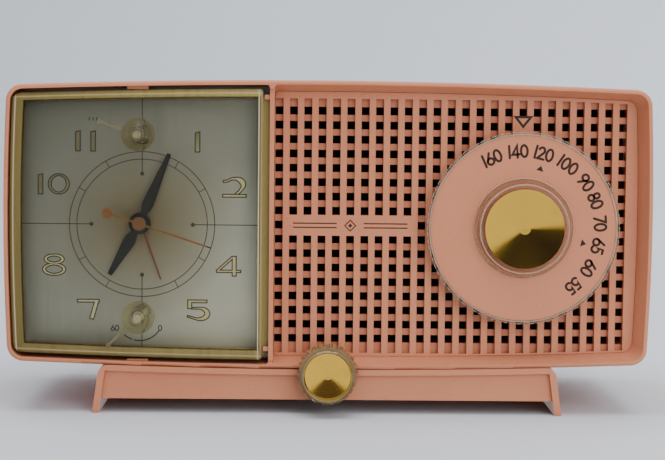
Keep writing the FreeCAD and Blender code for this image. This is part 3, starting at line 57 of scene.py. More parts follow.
TUNING = middle("tuning_dial")
VOLUME = middle("volume_knob")
CLOCK = middle("hour_wheel")
SLEEP = middle("sleep_timer")
SELECTOR = middle("alarm_switch")
RINGS = (CLOCK[0] + 0.7, CLOCK[1] - 0.8)  # the dial was printed a little off centre
DIAL_FACE = front_of("tuning_dial")
CLOCK_FACE = front_of("clock_dial")
GRILLE_FACE = front_of("speaker_grille")
INK = 0.06  # thickness of the printing
HANDLE = 0.0080  # radius of the two clock knobs, in metres: their pointers begin there
HIGHLIGHT_WIDTH = 0.0005  # width of a pale line painted as a highlight on an edge, in metres
CRYSTAL_FLANGE = 0.003  # width of the flange beside the divider, in metres
CRYSTAL_BOW = 0.143  # fall of its top edge, in metres per square metre
CRYSTAL_SWELL = 0.42  # and how much its left edge draws in, likewise


# ---------------------------------------------------------------- material helpers

class Finish:
    """A node material with its Principled shader, and short calls that add its detail."""

    def __init__(self, name, **sockets):
        self.material = bpy.data.materials.new(name)
        self.material.use_nodes = True
        self.tree = self.material.node_tree
        self.tree.nodes.clear()
        self.output = self.tree.nodes.new("ShaderNodeOutputMaterial")
        self.shader = self.tree.nodes.new("ShaderNodeBsdfPrincipled")
        self.link(self.shader.outputs["BSDF"], self.output.inputs["Surface"])
        self.place = self.tree.nodes.new("ShaderNodeTexCoord").outputs["Object"]
        for socket, value in sockets.items():
            self.shader.inputs[socket.replace("_", " ")].default_value = value

    def link(self, a, b):
        self.tree.links.new(a, b)

    def node(self, kind, **settings):
        made = self.tree.nodes.new(kind)
        for key, value in settings.items():
            setattr(made, key, value)
        return made

    def put(self, socket, value):
        if isinstance(value, bpy.types.NodeSocket):
            self.link(value, socket)
        else:
            socket.default_value = value

    def mapping(self, scale=(1, 1, 1), location=(0, 0, 0)):
        made = self.node("ShaderNodeMapping")
        made.inputs["Scale"].default_value = scale
        made.inputs["Location"].default_value = location
        self.link(self.place, made.inputs["Vector"])
        return made.outputs["Vector"]

    def noise(self, scale, detail=4, rough=0.55, vector=None):
        made = self.node("ShaderNodeTexNoise")
        made.inputs["Scale"].default_value = scale
        made.inputs["Detail"].default_value = detail
        made.inputs["Roughness"].default_value = rough
        self.link(vector or self.place, made.inputs["Vector"])
        return made.outputs["Fac"]

    def wave(self, scale, direction, distortion):
        made = self.node("ShaderNodeTexWave", bands_direction=direction)
        made.inputs["Scale"].default_value = scale
        made.inputs["Distortion"].default_value = distortion
        self.link(self.place, made.inputs["Vector"])
        return made.outputs["Fac"]

    def math(self, operation, a, b=0.0, clamp=False):
        made = self.node("ShaderNodeMath", operation=operation, use_clamp=clamp)
        self.put(made.inputs[0], a)
        self.put(made.inputs[1], b)
        return made.outputs[0]

    def span(self, value, low, high, out_low=0.0, out_high=1.0):
        made = self.node("ShaderNodeMapRange")
        self.put(made.inputs["Value"], value)
        made.inputs["From Min"].default_value = low
        made.inputs["From Max"].default_value = high
        made.inputs["To Min"].default_value = out_low
        made.inputs["To Max"].default_value = out_high
        return made.outputs["Result"]

    def mix(self, fac, a, b):
        made = self.node("ShaderNodeMix", data_type="RGBA")
        self.put(made.inputs["Factor"], fac)
        self.put(made.inputs[6], a if isinstance(a, bpy.types.NodeSocket) else (*a, 1))
        self.put(made.inputs[7], b if isinstance(b, bpy.types.NodeSocket) else (*b, 1))
        return made.outputs[2]

    def bump(self, height, strength, distance, normal=None):
        made = self.node("ShaderNodeBump")
        made.inputs["Strength"].default_value = strength
        made.inputs["Distance"].default_value = distance
        self.link(height, made.inputs["Height"])
        if normal:
            self.link(normal, made.inputs["Normal"])
        return made.outputs["Normal"]

    def axes(self, source=None):
        made = self.node("ShaderNodeSeparateXYZ")
        self.link(source or self.place, made.inputs["Vector"])
        return made.outputs

    def distance(self, x, z):
        """Distance from the line through (x, z) along Y, in metres."""
        flat = self.mapping(scale=(1, 0, 1), location=(-x * MM, 0, -z * MM))
        made = self.node("ShaderNodeVectorMath", operation="LENGTH")
        self.link(flat, made.inputs[0])
        return made.outputs["Value"]

    def rings(self, radius, scale):
        """Noise that changes only with the distance from an axis."""
        made = self.node("ShaderNodeCombineXYZ")
        self.link(self.math("MULTIPLY", radius, scale), made.inputs[0])
        return self.noise(1.0, 4, 0.8, made.outputs[0])

    def facing(self, axis):
        """How squarely the surface faces along X, Y or Z, either way: from 0 to 1."""
        made = self.node("ShaderNodeNewGeometry")
        return self.math("ABSOLUTE", self.axes(made.outputs["Normal"])[axis])

    def color(self, value):
        self.put(self.shader.inputs["Base Color"],
                 value if isinstance(value, bpy.types.NodeSocket) else (*value, 1))
        return self

    def rough(self, value):
        self.put(self.shader.inputs["Roughness"], value)
        return self

    def normal(self, value):
        self.link(value, self.shader.inputs["Normal"])
        return self


# ---------------------------------------------------------------- finishes

def moulded_pink():
    """Aged pink styrene: mottled, with painted shade in its recesses, orange peel and fine
    scratches.
    """
    f = Finish("moulded_pink", IOR=1.4)
    clouds = f.noise(9, 5, 0.6)
    specks = f.noise(900, 2, 0.5)
    base = f.mix(f.span(clouds, 0.35, 0.7), (0.590, 0.212, 0.106), (0.645, 0.248, 0.132))
    base = f.mix(f.span(specks, 0.62, 0.74, 0, 0.35), base, (0.46, 0.135, 0.060))
    # Painted shade: the pink is darkened wherever ambient occlusion finds a recess.
    recess = f.node("ShaderNodeAmbientOcclusion", samples=4)
    recess.inputs["Distance"].default_value = 0.006
    recess_shade = f.span(recess.outputs["AO"], 0.25, 0.85, 0.50, 0.0)
    f.color(f.mix(recess_shade, base, (0.36, 0.095, 0.040)))
    streaks = f.noise(60, 6, 0.7, f.mapping(scale=(1, 1, 6)))
    f.rough(f.span(streaks, 0.3, 0.75, 0.32, 0.48))
    peel = f.bump(f.noise(420, 3, 0.5), 0.10, 0.0004)
    scratches = f.noise(1400, 2, 0.8, f.mapping(scale=(0.05, 1, 1)))
    f.normal(f.bump(scratches, 0.05, 0.0002, peel))
    return f.material


def band(f, value, low, high, blur=0.0001):
    """One between low and high, with soft ends, and zero elsewhere."""
    rise = f.span(value, low - blur, low + blur)
    return f.math("SUBTRACT", rise, f.span(value, high - blur, high + blur), clamp=True)


def clear_plastic(name, light, deep, transmission, ior, alpha=1.0, pointer=None, worn=()):
    """Clear acrylic gone yellow, with handling marks under a hard gloss.

    pointer is the axis of a clock knob, which gets painted brown shade where it turns away and has
    a paler arm.
    worn gives the inner radii of pale edge lines, painted highlights, about the tuning axis, in
    metres.
    """
    f = Finish(name, IOR=ior, Coat_Weight=0.15 if pointer else 0.45, Coat_Roughness=0.04)
    marks = f.noise(300, 5, 0.7)
    base = f.mix(f.span(f.noise(40), 0.35, 0.7), light, deep)
    arm = edge_highlights = 0.0
    if pointer:
        # Painted shade: the knob is browned where its surface turns away from the front.
        turned = f.span(f.facing("Y"), 0.25, 0.70)
        base = f.mix(turned, (0.16, 0.125, 0.045), base)
        arm = f.span(f.distance(*pointer), HANDLE, HANDLE + 0.0004)
    radius = f.distance(*TUNING)
    # Painted highlights: pale, more opaque lines at the given radii about the tuning axis.
    for place in worn:
        edge_highlights = f.math("MAXIMUM", edge_highlights, band(f, radius, place, place + HIGHLIGHT_WIDTH))
    base = f.mix(edge_highlights, base, (0.50, 0.34, 0.22))
    f.put(f.shader.inputs["Alpha"], f.span(edge_highlights, 0.0, 1.0, alpha, 0.75))
    f.color(f.mix(arm, base, (0.42, 0.37, 0.22)))
    seen_through = f.math("SUBTRACT", f.span(arm, 0.0, 1.0, transmission, 0.75), edge_highlights, clamp=True)
    f.put(f.shader.inputs["Transmission Weight"], seen_through)
    f.rough(f.span(marks, 0.4, 0.8, 0.02, 0.10))
    f.normal(f.bump(marks, 0.05, 0.0002))
    return f.material


def crystal_plastic():
    """The clock crystal: clear styrene gone yellow, deepest along its side walls, with painted
    shade on its left and lower walls and painted highlight lines along its edges.
    """
    f = Finish("crystal_plastic", IOR=1.12, Coat_Weight=0.12, Coat_Roughness=0.02)
    low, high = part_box("clock_crystal")
    mid_height = (low[2] + high[2]) / 2
    places = f.axes()
    x, z = places["X"], places["Z"]
    rise = f.math("SUBTRACT", z, mid_height)
    bow = f.math("MULTIPLY", f.math("MULTIPLY", x, x), CRYSTAL_BOW)
    swell = f.math("MULTIPLY", f.math("MULTIPLY", rise, rise), CRYSTAL_SWELL)
    from_top = f.math("SUBTRACT", f.math("SUBTRACT", high[2], bow), z)
    from_bottom = f.math("SUBTRACT", z, f.math("ADD", low[2], bow))
    from_left = f.math("SUBTRACT", f.math("SUBTRACT", x, low[0]), swell)
    from_right = f.math("SUBTRACT", high[0] - CRYSTAL_FLANGE, x)
    level = f.math("MINIMUM", from_top, from_bottom)
    upright = f.math("MINIMUM", from_left, from_right)
    inside = 1.0
    # Beside each depth is how much further than 3 mm the amber of that wall reaches in.
    for depth, extra in ((from_left, 0.0029), (from_right, -0.0014),
                         (from_top, 0.0008), (from_bottom, 0.0018)):
        inside = f.math("MINIMUM", inside, f.math("SUBTRACT", depth, extra))
    facing = f.span(f.facing("Y"), 0.45, 0.75)
    front = f.math("MULTIPLY", facing, f.span(inside, 0.0022, 0.0032))

    haze = f.noise(25, 6, 0.65)
    streaks = f.noise(260, 4, 0.7, f.mapping(scale=(1, 1, 0.05)))
    clear = f.mix(f.span(haze, 0.4, 0.75), (0.95, 0.94, 0.86), (0.91, 0.89, 0.77))
    # Painted shade: the walls are darker towards the left and towards the bottom.
    side = f.span(x, low[0], high[0])
    wall = f.mix(side, (0.215, 0.155, 0.052), (0.44, 0.34, 0.115))
    wall = f.mix(f.span(z, low[2] + 0.008, low[2] + 0.002, 0.0, 0.6), wall, (0.17, 0.125, 0.055))
    wall = f.mix(f.span(streaks, 0.45, 0.75, 0, 0.5), wall, (0.10, 0.07, 0.02))
    tint = f.mix(f.span(inside, 0.0031, 0.0048), (0.78, 0.66, 0.40), clear)
    body = f.mix(f.span(front, 0.85, 1.0), wall, tint)
    # Painted highlights: pale lines a little inside the crystal's edges.
    level_highlight = band(f, level, 0.0016, 0.0020)
    upright_highlight = band(f, upright, 0.0016, 0.0021)
    body = f.mix(f.math("MULTIPLY", level_highlight, 0.60), body, (0.56, 0.48, 0.24))
    body = f.mix(f.math("MULTIPLY", upright_highlight, 0.75), body, (0.56, 0.48, 0.36))
    # Painted highlight: a brighter amber line along the outer left and right edges.
    brim_highlight = f.math("MULTIPLY", band(f, upright, -0.0004, 0.0002), 0.7)
    f.color(f.mix(brim_highlight, body, (0.42, 0.33, 0.17)))
    highlight_lines = f.math("ADD", level_highlight, upright_highlight, clamp=True)
    seen_through = f.math("SUBTRACT", f.span(front, 0.0, 0.8, 0.20, 1.0), highlight_lines, clamp=True)
    f.put(f.shader.inputs["Transmission Weight"], seen_through)
    hairs = f.noise(700, 3, 0.85, f.mapping(scale=(1, 0.1, 0.04)))
    polish = f.span(hairs, 0.5, 0.85, 0.02, 0.12)
    f.rough(f.math("ADD", polish, f.span(front, 0.0, 1.0, 0.35, 0.0)))
    f.normal(f.bump(hairs, 0.03, 0.0002))
    return f.material


def spun_brass(name, x, z):
    """A polished brass cap spun in a lathe: fine rings about its axis."""
    f = Finish(name, Metallic=1.0, Anisotropic=0.8, Anisotropic_Rotation=0.25)
    rings = f.rings(f.distance(x, z), 9000.0)
    tarnish = f.noise(70, 5, 0.6)
    base = f.mix(f.span(rings, 0.3, 0.7), (0.83, 0.49, 0.062), (0.94, 0.60, 0.098))
    f.color(f.mix(f.span(tarnish, 0.55, 0.8, 0, 0.5), base, (0.60, 0.36, 0.06)))
    f.rough(f.span(rings, 0.25, 0.75, 0.06, 0.12))
    f.normal(f.bump(rings, 0.03, 0.0001))
    along = f.node("ShaderNodeTangent", direction_type="RADIAL", axis="Y")
    f.link(along.outputs["Tangent"], f.shader.inputs["Tangent"])
    return f.material


def clock_face():
    """A brushed silvered plate, browned at its middle, with painted light towards its lower right
    and painted shade towards its upper left corner.
    """
    f = Finish("clock_face", Metallic=0.55)
    grain = f.noise(500, 4, 0.7, f.mapping(scale=(1, 1, 0.015)))
    radius = f.distance(*CLOCK)
    age = f.span(radius, 0.004, 0.048, 1.0, 0.0)
    cloud = f.noise(22, 4, 0.6)
    base = f.mix(f.span(grain, 0.3, 0.7), (0.255, 0.255, 0.225), (0.295, 0.295, 0.262))
    places = f.axes()
    # Painted light: the plate is lighter towards the right and the bottom.
    bright = f.math("MULTIPLY", f.span(places["X"], -0.11, -0.03),
                    f.span(places["Z"], 0.12, 0.03))
    base = f.mix(f.math("MULTIPLY", bright, 0.9), base, (0.64, 0.63, 0.57))
    base = f.mix(f.math("MULTIPLY", age, 0.97), base, (0.150, 0.108, 0.036))
    # Painted shade: the plate is darker towards its upper left corner.
    shade_left_fade = f.span(places["X"], -0.15, -0.03, 0.0, 0.65)
    corner_shade = f.math("SUBTRACT", f.span(places["Z"], 0.03, 0.15), shade_left_fade)
    base = f.mix(f.math("MULTIPLY", corner_shade, 0.7, clamp=True), base, (0.090, 0.088, 0.066))
    f.color(f.mix(f.span(cloud, 0.5, 0.8, 0, 0.35), base, (0.19, 0.185, 0.155)))
    f.rough(f.span(grain, 0.3, 0.7, 0.34, 0.48))
    f.normal(f.bump(grain, 0.06, 0.0002))
    return f.material


def painted(name, color, worn):
    """Thin enamel on a stamped hand, rubbed through in specks."""
    f = Finish(name, IOR=1.28)
    wear = f.noise(600, 4, 0.7)
    f.color(f.mix(f.span(wear, 0.60, 0.72, 0, 0.7), color, worn))
    f.rough(f.span(f.noise(250, 3), 0.3, 0.7, 0.36, 0.50))
    f.normal(f.bump(wear, 0.08, 0.0001))
    return f.material


def metal(name, dark, light, rough, stretch=(1, 1, 1), scale=300):
    """Bare metal with a grain that runs along the axis given the smallest stretch."""
    f = Finish(name, Metallic=1.0)
    grain = f.noise(scale, 5, 0.7, f.mapping(scale=stretch))
    stain = f.noise(45, 4, 0.6)
    base = f.mix(f.span(grain, 0.3, 0.7), dark, light)
    f.color(f.mix(f.span(stain, 0.55, 0.8, 0, 0.5), base, tuple(c * 0.6 for c in dark)))
    f.rough(f.span(grain, 0.3, 0.7, rough - 0.07, rough + 0.09))
    f.normal(f.bump(grain, 0.10, 0.0002))
    return f.material


def passivated():
    """Zinc-plated sheet with a faint straw and blue passivation."""
    f = Finish("passivated", Metallic=1.0)
    swirl = f.noise(18, 3, 0.5)
    grain = f.noise(700, 4, 0.7)
    tint = f.mix(f.span(swirl, 0.3, 0.7), (0.50, 0.52, 0.58), (0.62, 0.58, 0.44))
    f.color(f.mix(f.span(grain, 0.45, 0.75, 0, 0.5), tint, (0.36, 0.36, 0.37)))
    f.rough(f.span(grain, 0.3, 0.7, 0.30, 0.48))
    f.normal(f.bump(grain, 0.12, 0.0002))
    return f.material


SECOND_TIP = (36.5, math.radians(108.2))  # reach and clock angle of the second hand's tip


def second_hand():
    """Brass, with its tip dipped in black and a browned boss."""
    f = Finish("second_hand_brass", Metallic=0.8)
    grain = f.noise(900, 4, 0.7)
    brass = f.mix(f.span(grain, 0.3, 0.7), (0.17, 0.075, 0.022), (0.27, 0.130, 0.040))
    reach, turn = SECOND_TIP
    tip = f.distance(CLOCK[0] + reach * math.sin(turn), CLOCK[1] + reach * math.cos(turn))
    dipped = f.span(tip, 0.0022, 0.0028, 1.0, 0.0)
    hub = f.span(f.distance(*CLOCK), 0.0030, 0.0040, 0.75, 0.0)
    shade = f.mix(hub, brass, (0.16, 0.075, 0.03))
    f.color(f.mix(dipped, shade, (0.02, 0.018, 0.015)))
    f.rough(f.span(grain, 0.3, 0.7, 0.34, 0.50))
    f.normal(f.bump(grain, 0.08, 0.0001))
    return f.material


def cloth():
    """Black acoustic cloth in a plain weave."""
    f = Finish("cloth")
    warp = f.wave(300, "X", 0.3)
    weft = f.wave(300, "Z", 0.3)
    weave = f.math("MULTIPLY", warp, weft)
    f.color(f.mix(f.span(weave, 0.1, 0.9), (0.004, 0.004, 0.004), (0.018, 0.017, 0.016)))
    f.rough(0.9)
    f.normal(f.bump(weave, 0.6, 0.0004))
    f.shader.inputs["Sheen Weight"].default_value = 0.1
    return f.material


def fibre(name, dark, light, rough=0.75, scale=260, stretch=(1, 1, 1), bumpy=0.35):
    """Pressed board, paper and laminate: short fibres in two tones over a cloudy base."""
    f = Finish(name)
    strands = f.noise(scale, 6, 0.75, f.mapping(scale=stretch))
    clouds = f.noise(16, 3, 0.5)
    base = f.mix(f.span(strands, 0.35, 0.68), dark, light)
    f.color(f.mix(f.span(clouds, 0.4, 0.75, 0, 0.45), base, tuple(c * 0.7 for c in dark)))
    f.rough(f.span(strands, 0.3, 0.7, rough - 0.1, rough + 0.1))
    f.normal(f.bump(strands, bumpy, 0.0004))
    return f.material


def mould(name, dark, light, rough=0.4):
    """Dark moulded plastic with a fine texture and dust."""
    f = Finish(name, IOR=1.5)
    clouds = f.noise(50, 4, 0.6)
    dust = f.noise(1100, 2, 0.5)
    base = f.mix(f.span(clouds, 0.3, 0.7), dark, light)
    f.color(f.mix(f.span(dust, 0.62, 0.75, 0, 0.25), base, (0.30, 0.27, 0.24)))
    f.rough(f.span(clouds, 0.3, 0.7, rough - 0.08, rough + 0.1))
    f.normal(f.bump(f.noise(500, 3), 0.15, 0.0003))
    return f.material


def valve_glass():
    """Clear glass with a silvered getter inside its crown."""
    f = Finish("valve_glass", IOR=1.45)
    height = f.span(f.axes()["Z"], 0.080, 0.088)
    smoke = f.noise(120, 4, 0.6)
    body = f.mix(f.span(smoke, 0.3, 0.7), (0.10, 0.10, 0.10), (0.26, 0.27, 0.28))
    f.color(f.mix(height, body, (0.62, 0.63, 0.65)))
    f.put(f.shader.inputs["Metallic"], f.span(f.axes()["Z"], 0.080, 0.088, 0.2, 0.9))
    f.rough(f.span(smoke, 0.3, 0.7, 0.04, 0.12))
    f.shader.inputs["Coat Weight"].default_value = 0.8
    return f.material


def ink(name, color, fade):
    """Screen-printed ink, worn thin in specks."""
    f = Finish(name)
    wear = f.noise(2200, 4, 0.7)
    f.color(f.mix(f.span(wear, 0.60, 0.75, 0, 0.6), color, fade))
    f.rough(f.span(wear, 0.3, 0.7, 0.40, 0.60))
    f.normal(f.bump(wear, 0.15, 0.00005))
    return f.material


def gilt():
    """The pale gold filling of the clock numerals, darkened with painted shade towards the upper
    left.
    """
    f = Finish("gilt", Metallic=0.75)
    grain = f.noise(1500, 4, 0.7)
    gold = f.mix(f.span(grain, 0.3, 0.7), (0.48, 0.41, 0.20), (0.62, 0.55, 0.31))
    places = f.axes()
    # Painted shade: the gold darkens towards the upper left.
    height = f.math("ADD", places["Z"], f.math("MULTIPLY", places["X"], -0.35))
    f.color(f.mix(f.span(height, 0.125, 0.155, 0.0, 0.85), gold, (0.115, 0.100, 0.055)))
    f.rough(f.span(grain, 0.3, 0.7, 0.30, 0.46))
    f.normal(f.bump(grain, 0.1, 0.0001))
    return f.material


PINK = moulded_pink()
# The four radii are pale lines painted as highlights on the edges of the tuning ring and the
# dial's rim.
CLEAR = clear_plastic("clear_plastic", (0.95, 0.92, 0.80), (0.90, 0.86, 0.70), 1.0, 1.28, 0.55,
                      worn=(0.0208, 0.0237, 0.0444, 0.0457))
DARK_INK = ink("dark_ink", (0.026, 0.012, 0.008), (0.13, 0.06, 0.035))
CLOCK_INK = ink("clock_ink", (0.018, 0.016, 0.010), (0.08, 0.07, 0.05))
GILT = gilt()

BY_SLOT = {
    "cabinet_plastic": PINK,
    "clear_plastic": CLEAR,
    "crystal_plastic": crystal_plastic(),
    "spun_brass": spun_brass("spun_brass_tuning", *TUNING),
    "clock_face": clock_face(),
    "black_hand": painted("black_hand", (0.012, 0.011, 0.010), (0.05, 0.045, 0.04)),
    "alarm_red": painted("alarm_red", (0.16, 0.045, 0.025), (0.07, 0.025, 0.015)),
    "hand_brass": second_hand(),
    "gear_brass": metal("gear_brass", (0.46, 0.31, 0.10), (0.66, 0.49, 0.20), 0.34),
    "steel": metal("steel", (0.42, 0.42, 0.43), (0.60, 0.60, 0.61), 0.26, (1, 0.03, 1)),
    "zinc_plate": passivated(),
    "tin_can": metal("tin_can", (0.52, 0.53, 0.54), (0.68, 0.69, 0.70), 0.30, (1, 1, 0.03)),
    "valve_glass": valve_glass(),
    "phenolic": fibre("phenolic", (0.085, 0.040, 0.018), (0.16, 0.082, 0.036), 0.45, 300,
                      (0.2, 1, 1), 0.12),
    "black_plastic": mould("black_plastic", (0.012, 0.011, 0.010), (0.030, 0.028, 0.026)),
    "black_cloth": cloth(),
    "paper_cone": fibre("paper_cone", (0.018, 0.016, 0.014), (0.045, 0.040, 0.034), 0.85, 500),
    "magnet": mould("magnet", (0.030, 0.030, 0.032), (0.075, 0.075, 0.080), 0.55),
    "coil_tape": fibre("coil_tape", (0.22, 0.11, 0.035), (0.36, 0.20, 0.07), 0.5, 700,
                       (0.05, 1, 1), 0.3),
    "iron_core": metal("iron_core", (0.055, 0.052, 0.050), (0.13, 0.125, 0.12), 0.5,
                       (0.02, 1, 0.02), 1200),
    "pressed_board": fibre("pressed_board", (0.050, 0.026, 0.014), (0.115, 0.062, 0.034),
                           0.78, 420),
    "ferrite": mould("ferrite", (0.018, 0.018, 0.020), (0.045, 0.045, 0.048), 0.5),
    "knob_plastic": mould("knob_plastic", (0.022, 0.016, 0.013), (0.050, 0.036, 0.030), 0.32),
}

SLOT_OF = {entry["node"]: entry["material_slot"] for entry in frame["record"]["subparts"]}

for node, thing in frame["nodes"].items():
    material = BY_SLOT[SLOT_OF[node]]
    thing.data.materials.clear()
    thing.data.materials.append(material)


def refinish(node, material):
    """Gives one node a finish of its own instead of its slot's."""
    frame["nodes"][node].data.materials[0] = material


refinish("volume_cap", spun_brass("spun_brass_volume", *VOLUME))
refinish("volume_knob",
         clear_plastic("volume_amber", (0.50, 0.37, 0.17), (0.34, 0.23, 0.08), 0.55, 1.42))
for knob, axis in (("selector", SELECTOR), ("sleep", SLEEP)):
    refinish(knob + "_shaft", BY_SLOT["steel"])
    refinish(knob + "_knob", clear_plastic(knob + "_amber", (0.90, 0.82, 0.56),
                                           (0.78, 0.68, 0.38), 1.0, 1.25, 0.80, pointer=axis))


# ---------------------------------------------------------------- flat strokes for printing

def arc(cx, cz, rx, rz, start, end, steps=14):
    """Points of an elliptical arc. Angles are in degrees from +X towards +Z."""
    points = []
    for i in range(steps + 1):
        a = math.radians(start + (end - start) * i / steps)
        points.append((cx + rx * math.cos(a), cz + rz * math.sin(a)))
    return points


def along(points, closed, i):
    """Unit direction of a line at a point, and how much the corner there widens a ribbon."""
    n = len(points)
    here = Vector(points[i])
    before = points[(i - 1) % n] if closed or i > 0 else None
    after = points[(i + 1) % n] if closed or i < n - 1 else None
    coming = (here - Vector(before)).normalized() if before else None
    going = (Vector(after) - here).normalized() if after else coming
    coming = coming or going
    d = (coming + going).normalized()
    return d, 1 / max(d.dot(going), 0.35)


def width_at(widths, t):
    """Width at t, from 0 to 1, of a list of widths spread evenly along the line."""
    if not isinstance(widths, (list, tuple)):
        return widths
    place = t * (len(widths) - 1)
    i = min(int(place), len(widths) - 2)
    return widths[i] + (widths[i + 1] - widths[i]) * (place - i)


def stroke(bm, points, widths, y, closed=False, round_ends=False):
    """A flat ribbon in the plane y that follows the points."""
    n = len(points)
    rails = []
    for i, (x, z) in enumerate(points):
        d, mitre = along(points, closed, i)
        w = width_at(widths, i / (n if closed else n - 1)) / 2 * mitre
        left = bm.verts.new((x - d.y * w, y, z + d.x * w))
        right = bm.verts.new((x + d.y * w, y, z - d.x * w))
        rails.append((left, right))
    last = n if closed else n - 1
    for i in range(last):
        a, b = rails[i], rails[(i + 1) % n]
        bm.faces.new((a[0], b[0], b[1], a[1]))
    if closed or not round_ends:
        return
    for i, out in ((0, -1), (n - 1, 1)):
        x, z = points[i]
        d = along(points, closed, i)[0] * out
        w = width_at(widths, 1.0 if i else 0.0) / 2
        left, right = rails[i]
        side = Vector((-d.y, d.x)) * w
        fan = []
        for k in range(1, 6):
            a = math.pi * k / 6
            p = Vector((x, z)) + side * math.cos(a) + d * (w * math.sin(a))
            fan.append(bm.verts.new((p.x, y, p.y)))
        ends = (left, right) if out > 0 else (right, left)
        bm.faces.new([ends[0], *fan, ends[1]])


def plate(bm, outline, y):
    """A flat face from its corners."""
    bm.faces.new([bm.verts.new((x, y, z)) for x, z in outline])


def printed(name, bm, body, material, thickness=INK):
    """Gives the flat faces their thickness towards the front, and makes them a piece of a body."""
    flat = list(bm.faces)
    bmesh.ops.recalc_face_normals(bm, faces=flat)
    raised = bmesh.ops.extrude_face_region(bm, geom=flat)
    for item in raised["geom"]:
        if isinstance(item, bmesh.types.BMVert):
            item.co.y -= thickness
    bmesh.ops.recalc_face_normals(bm, faces=list(bm.faces))
    bmesh.ops.scale(bm, vec=(MM, MM, MM), verts=list(bm.verts))
    mesh = bpy.data.meshes.new(name)
    bm.to_mesh(mesh)
    bm.free()
    piece = bpy.data.objects.new(name, mesh)
    bpy.context.scene.collection.objects.link(piece)
    mesh.materials.append(material)
    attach(piece, body)
    return piece


# Plain round-ended figures, in a box one unit high, each with its advance.
FIGURES = {
    "0": ([(arc(0.29, 0.5, 0.245, 0.46, 0, 360, 28)[:-1], True)], 0.66),
    "1": ([([(0.06, 0.02), (0.06, 0.98)], False)], 0.25),
    "2": ([(arc(0.24, 0.71, 0.21, 0.25, 165, -35, 12)
            + [(0.02, 0.045), (0.50, 0.045)], False)], 0.58),
    "4": ([([(0.40, 0.02), (0.40, 0.96), (0.02, 0.27), (0.56, 0.27)], False)], 0.63),
    "5": ([([(0.44, 0.95), (0.16, 0.95), (0.10, 0.55)]
            + arc(0.20, 0.33, 0.26, 0.29, 105, -140, 14), False)], 0.58),
    "6": ([(arc(0.27, 0.29, 0.245, 0.25, 0, 360, 20)[:-1], True),
           ([(0.045, 0.36), (0.36, 0.97)], False)], 0.60),
    "7": ([([(0.03, 0.95), (0.47, 0.95), (0.14, 0.02)], False)], 0.54),
    "8": ([(arc(0.25, 0.72, 0.185, 0.235, 0, 360, 20)[:-1], True),
           (arc(0.25, 0.26, 0.225, 0.235, 0, 360, 20)[:-1], True)], 0.58),
    "9": ([(arc(0.27, 0.71, 0.245, 0.25, 0, 360, 20)[:-1], True),
           ([(0.495, 0.64), (0.18, 0.03)], False)], 0.60),
}


def number(bm, text, centre, radius, angle, height, width, y, spread=1.0):
    """A number that stands radially at a clock angle, its feet towards the centre."""
    total = sum(FIGURES[c][1] for c in text) - 0.08
    turn = math.radians(angle)
    right = Vector((math.cos(turn), -math.sin(turn)))
    up = Vector((math.sin(turn), math.cos(turn)))
    pen = -total / 2
    for c in text:
        strokes, advance = FIGURES[c]
        for points, closed in strokes:
            line = []
            for px, pz in points:
                p = (Vector(centre) + right * ((pen + px) * height * spread)
                     + up * (radius + (pz - 0.5) * height))
                line.append((p.x, p.y))
            stroke(bm, line, width, y, closed, round_ends=True)
        pen += advance


# ---------------------------------------------------------------- tuning dial printing

# Each number of the tuning scale with its clock angle in degrees.
SCALE = (("160", -24.8), ("140", -4.8), ("120", 14.6), ("100", 34.5), ("90", 53.2), ("80", 68.6),
         ("70", 86.0), ("65", 103.0), ("60", 121.0), ("55", 138.4))
SCALE_RADIUS, SCALE_HEIGHT, SCALE_STROKE = 36.7, 6.0, 1.12

scale = bmesh.new()
for text, angle in SCALE:
    number(scale, text, TUNING, SCALE_RADIUS, angle, SCALE_HEIGHT, SCALE_STROKE, DIAL_FACE, 1.06)
for angle in (14.8, 103.6):  # two small triangles inside the scale
    turn = math.radians(angle)
    out = Vector((math.sin(turn), math.cos(turn)))
    side = Vector((out.y, -out.x))
    spot = Vector(TUNING) + out * 29.5
    corners = [spot + out * 1.4, spot - out * 1.1 + side * 1.8, spot - out * 1.1 - side * 1.8]
    plate(scale, [(p.x, p.y) for p in corners], DIAL_FACE)
printed("tuning_scale", scale, "tuning", DARK_INK)

index = bmesh.new()
INDEX_TIP, INDEX_TOP, INDEX_HALF = 138.2, 142.8, 3.7
triangle = [(TUNING[0] - INDEX_HALF, INDEX_TOP), (TUNING[0] + INDEX_HALF, INDEX_TOP),
            (TUNING[0], INDEX_TIP)]
stroke(index, triangle, 1.15, GRILLE_FACE, closed=True)
printed("tuning_index", index, "root", DARK_INK)

# A plain ornament on the name bar: a diamond between two pairs of lines.
BAR = (10.35, 90.0)
DIAMOND = 2.6  # half its diagonal


def diamond(half):
    """Corners of a diamond on the bar, half a diagonal from its middle."""
    return [(BAR[0] - half, BAR[1]), (BAR[0], BAR[1] + half),
            (BAR[0] + half, BAR[1]), (BAR[0], BAR[1] - half)]


ornament = bmesh.new()
stroke(ornament, diamond(DIAMOND), 0.5, GRILLE_FACE, closed=True)
plate(ornament, diamond(0.4 * DIAMOND), GRILLE_FACE)
for side in (-1, 1):
    for rise in (-1.0, 1.0):
        ends = [(BAR[0] + side * reach, BAR[1] + rise) for reach in (6.5, 27.5)]
        stroke(ornament, ends, 0.55, GRILLE_FACE)
printed("name_bar_ornament", ornament, "root", DARK_INK)


# ---------------------------------------------------------------- clock printing

INNER_RING, OUTER_RING = 31.5, 35.1  # radii of the chapter ring's two lines
RING_LINE, HOUR_LINE, CROSS_LINE, SLEEP_LINE = 0.42, 0.40, 0.44, 0.60  # their widths


def ray(hour, near, far):
    """The two ends of a line that points from the printed middle towards an hour."""
    turn = math.radians(hour * 30)
    return [(RINGS[0] + r * math.sin(turn), RINGS[1] + r * math.cos(turn)) for r in (near, far)]


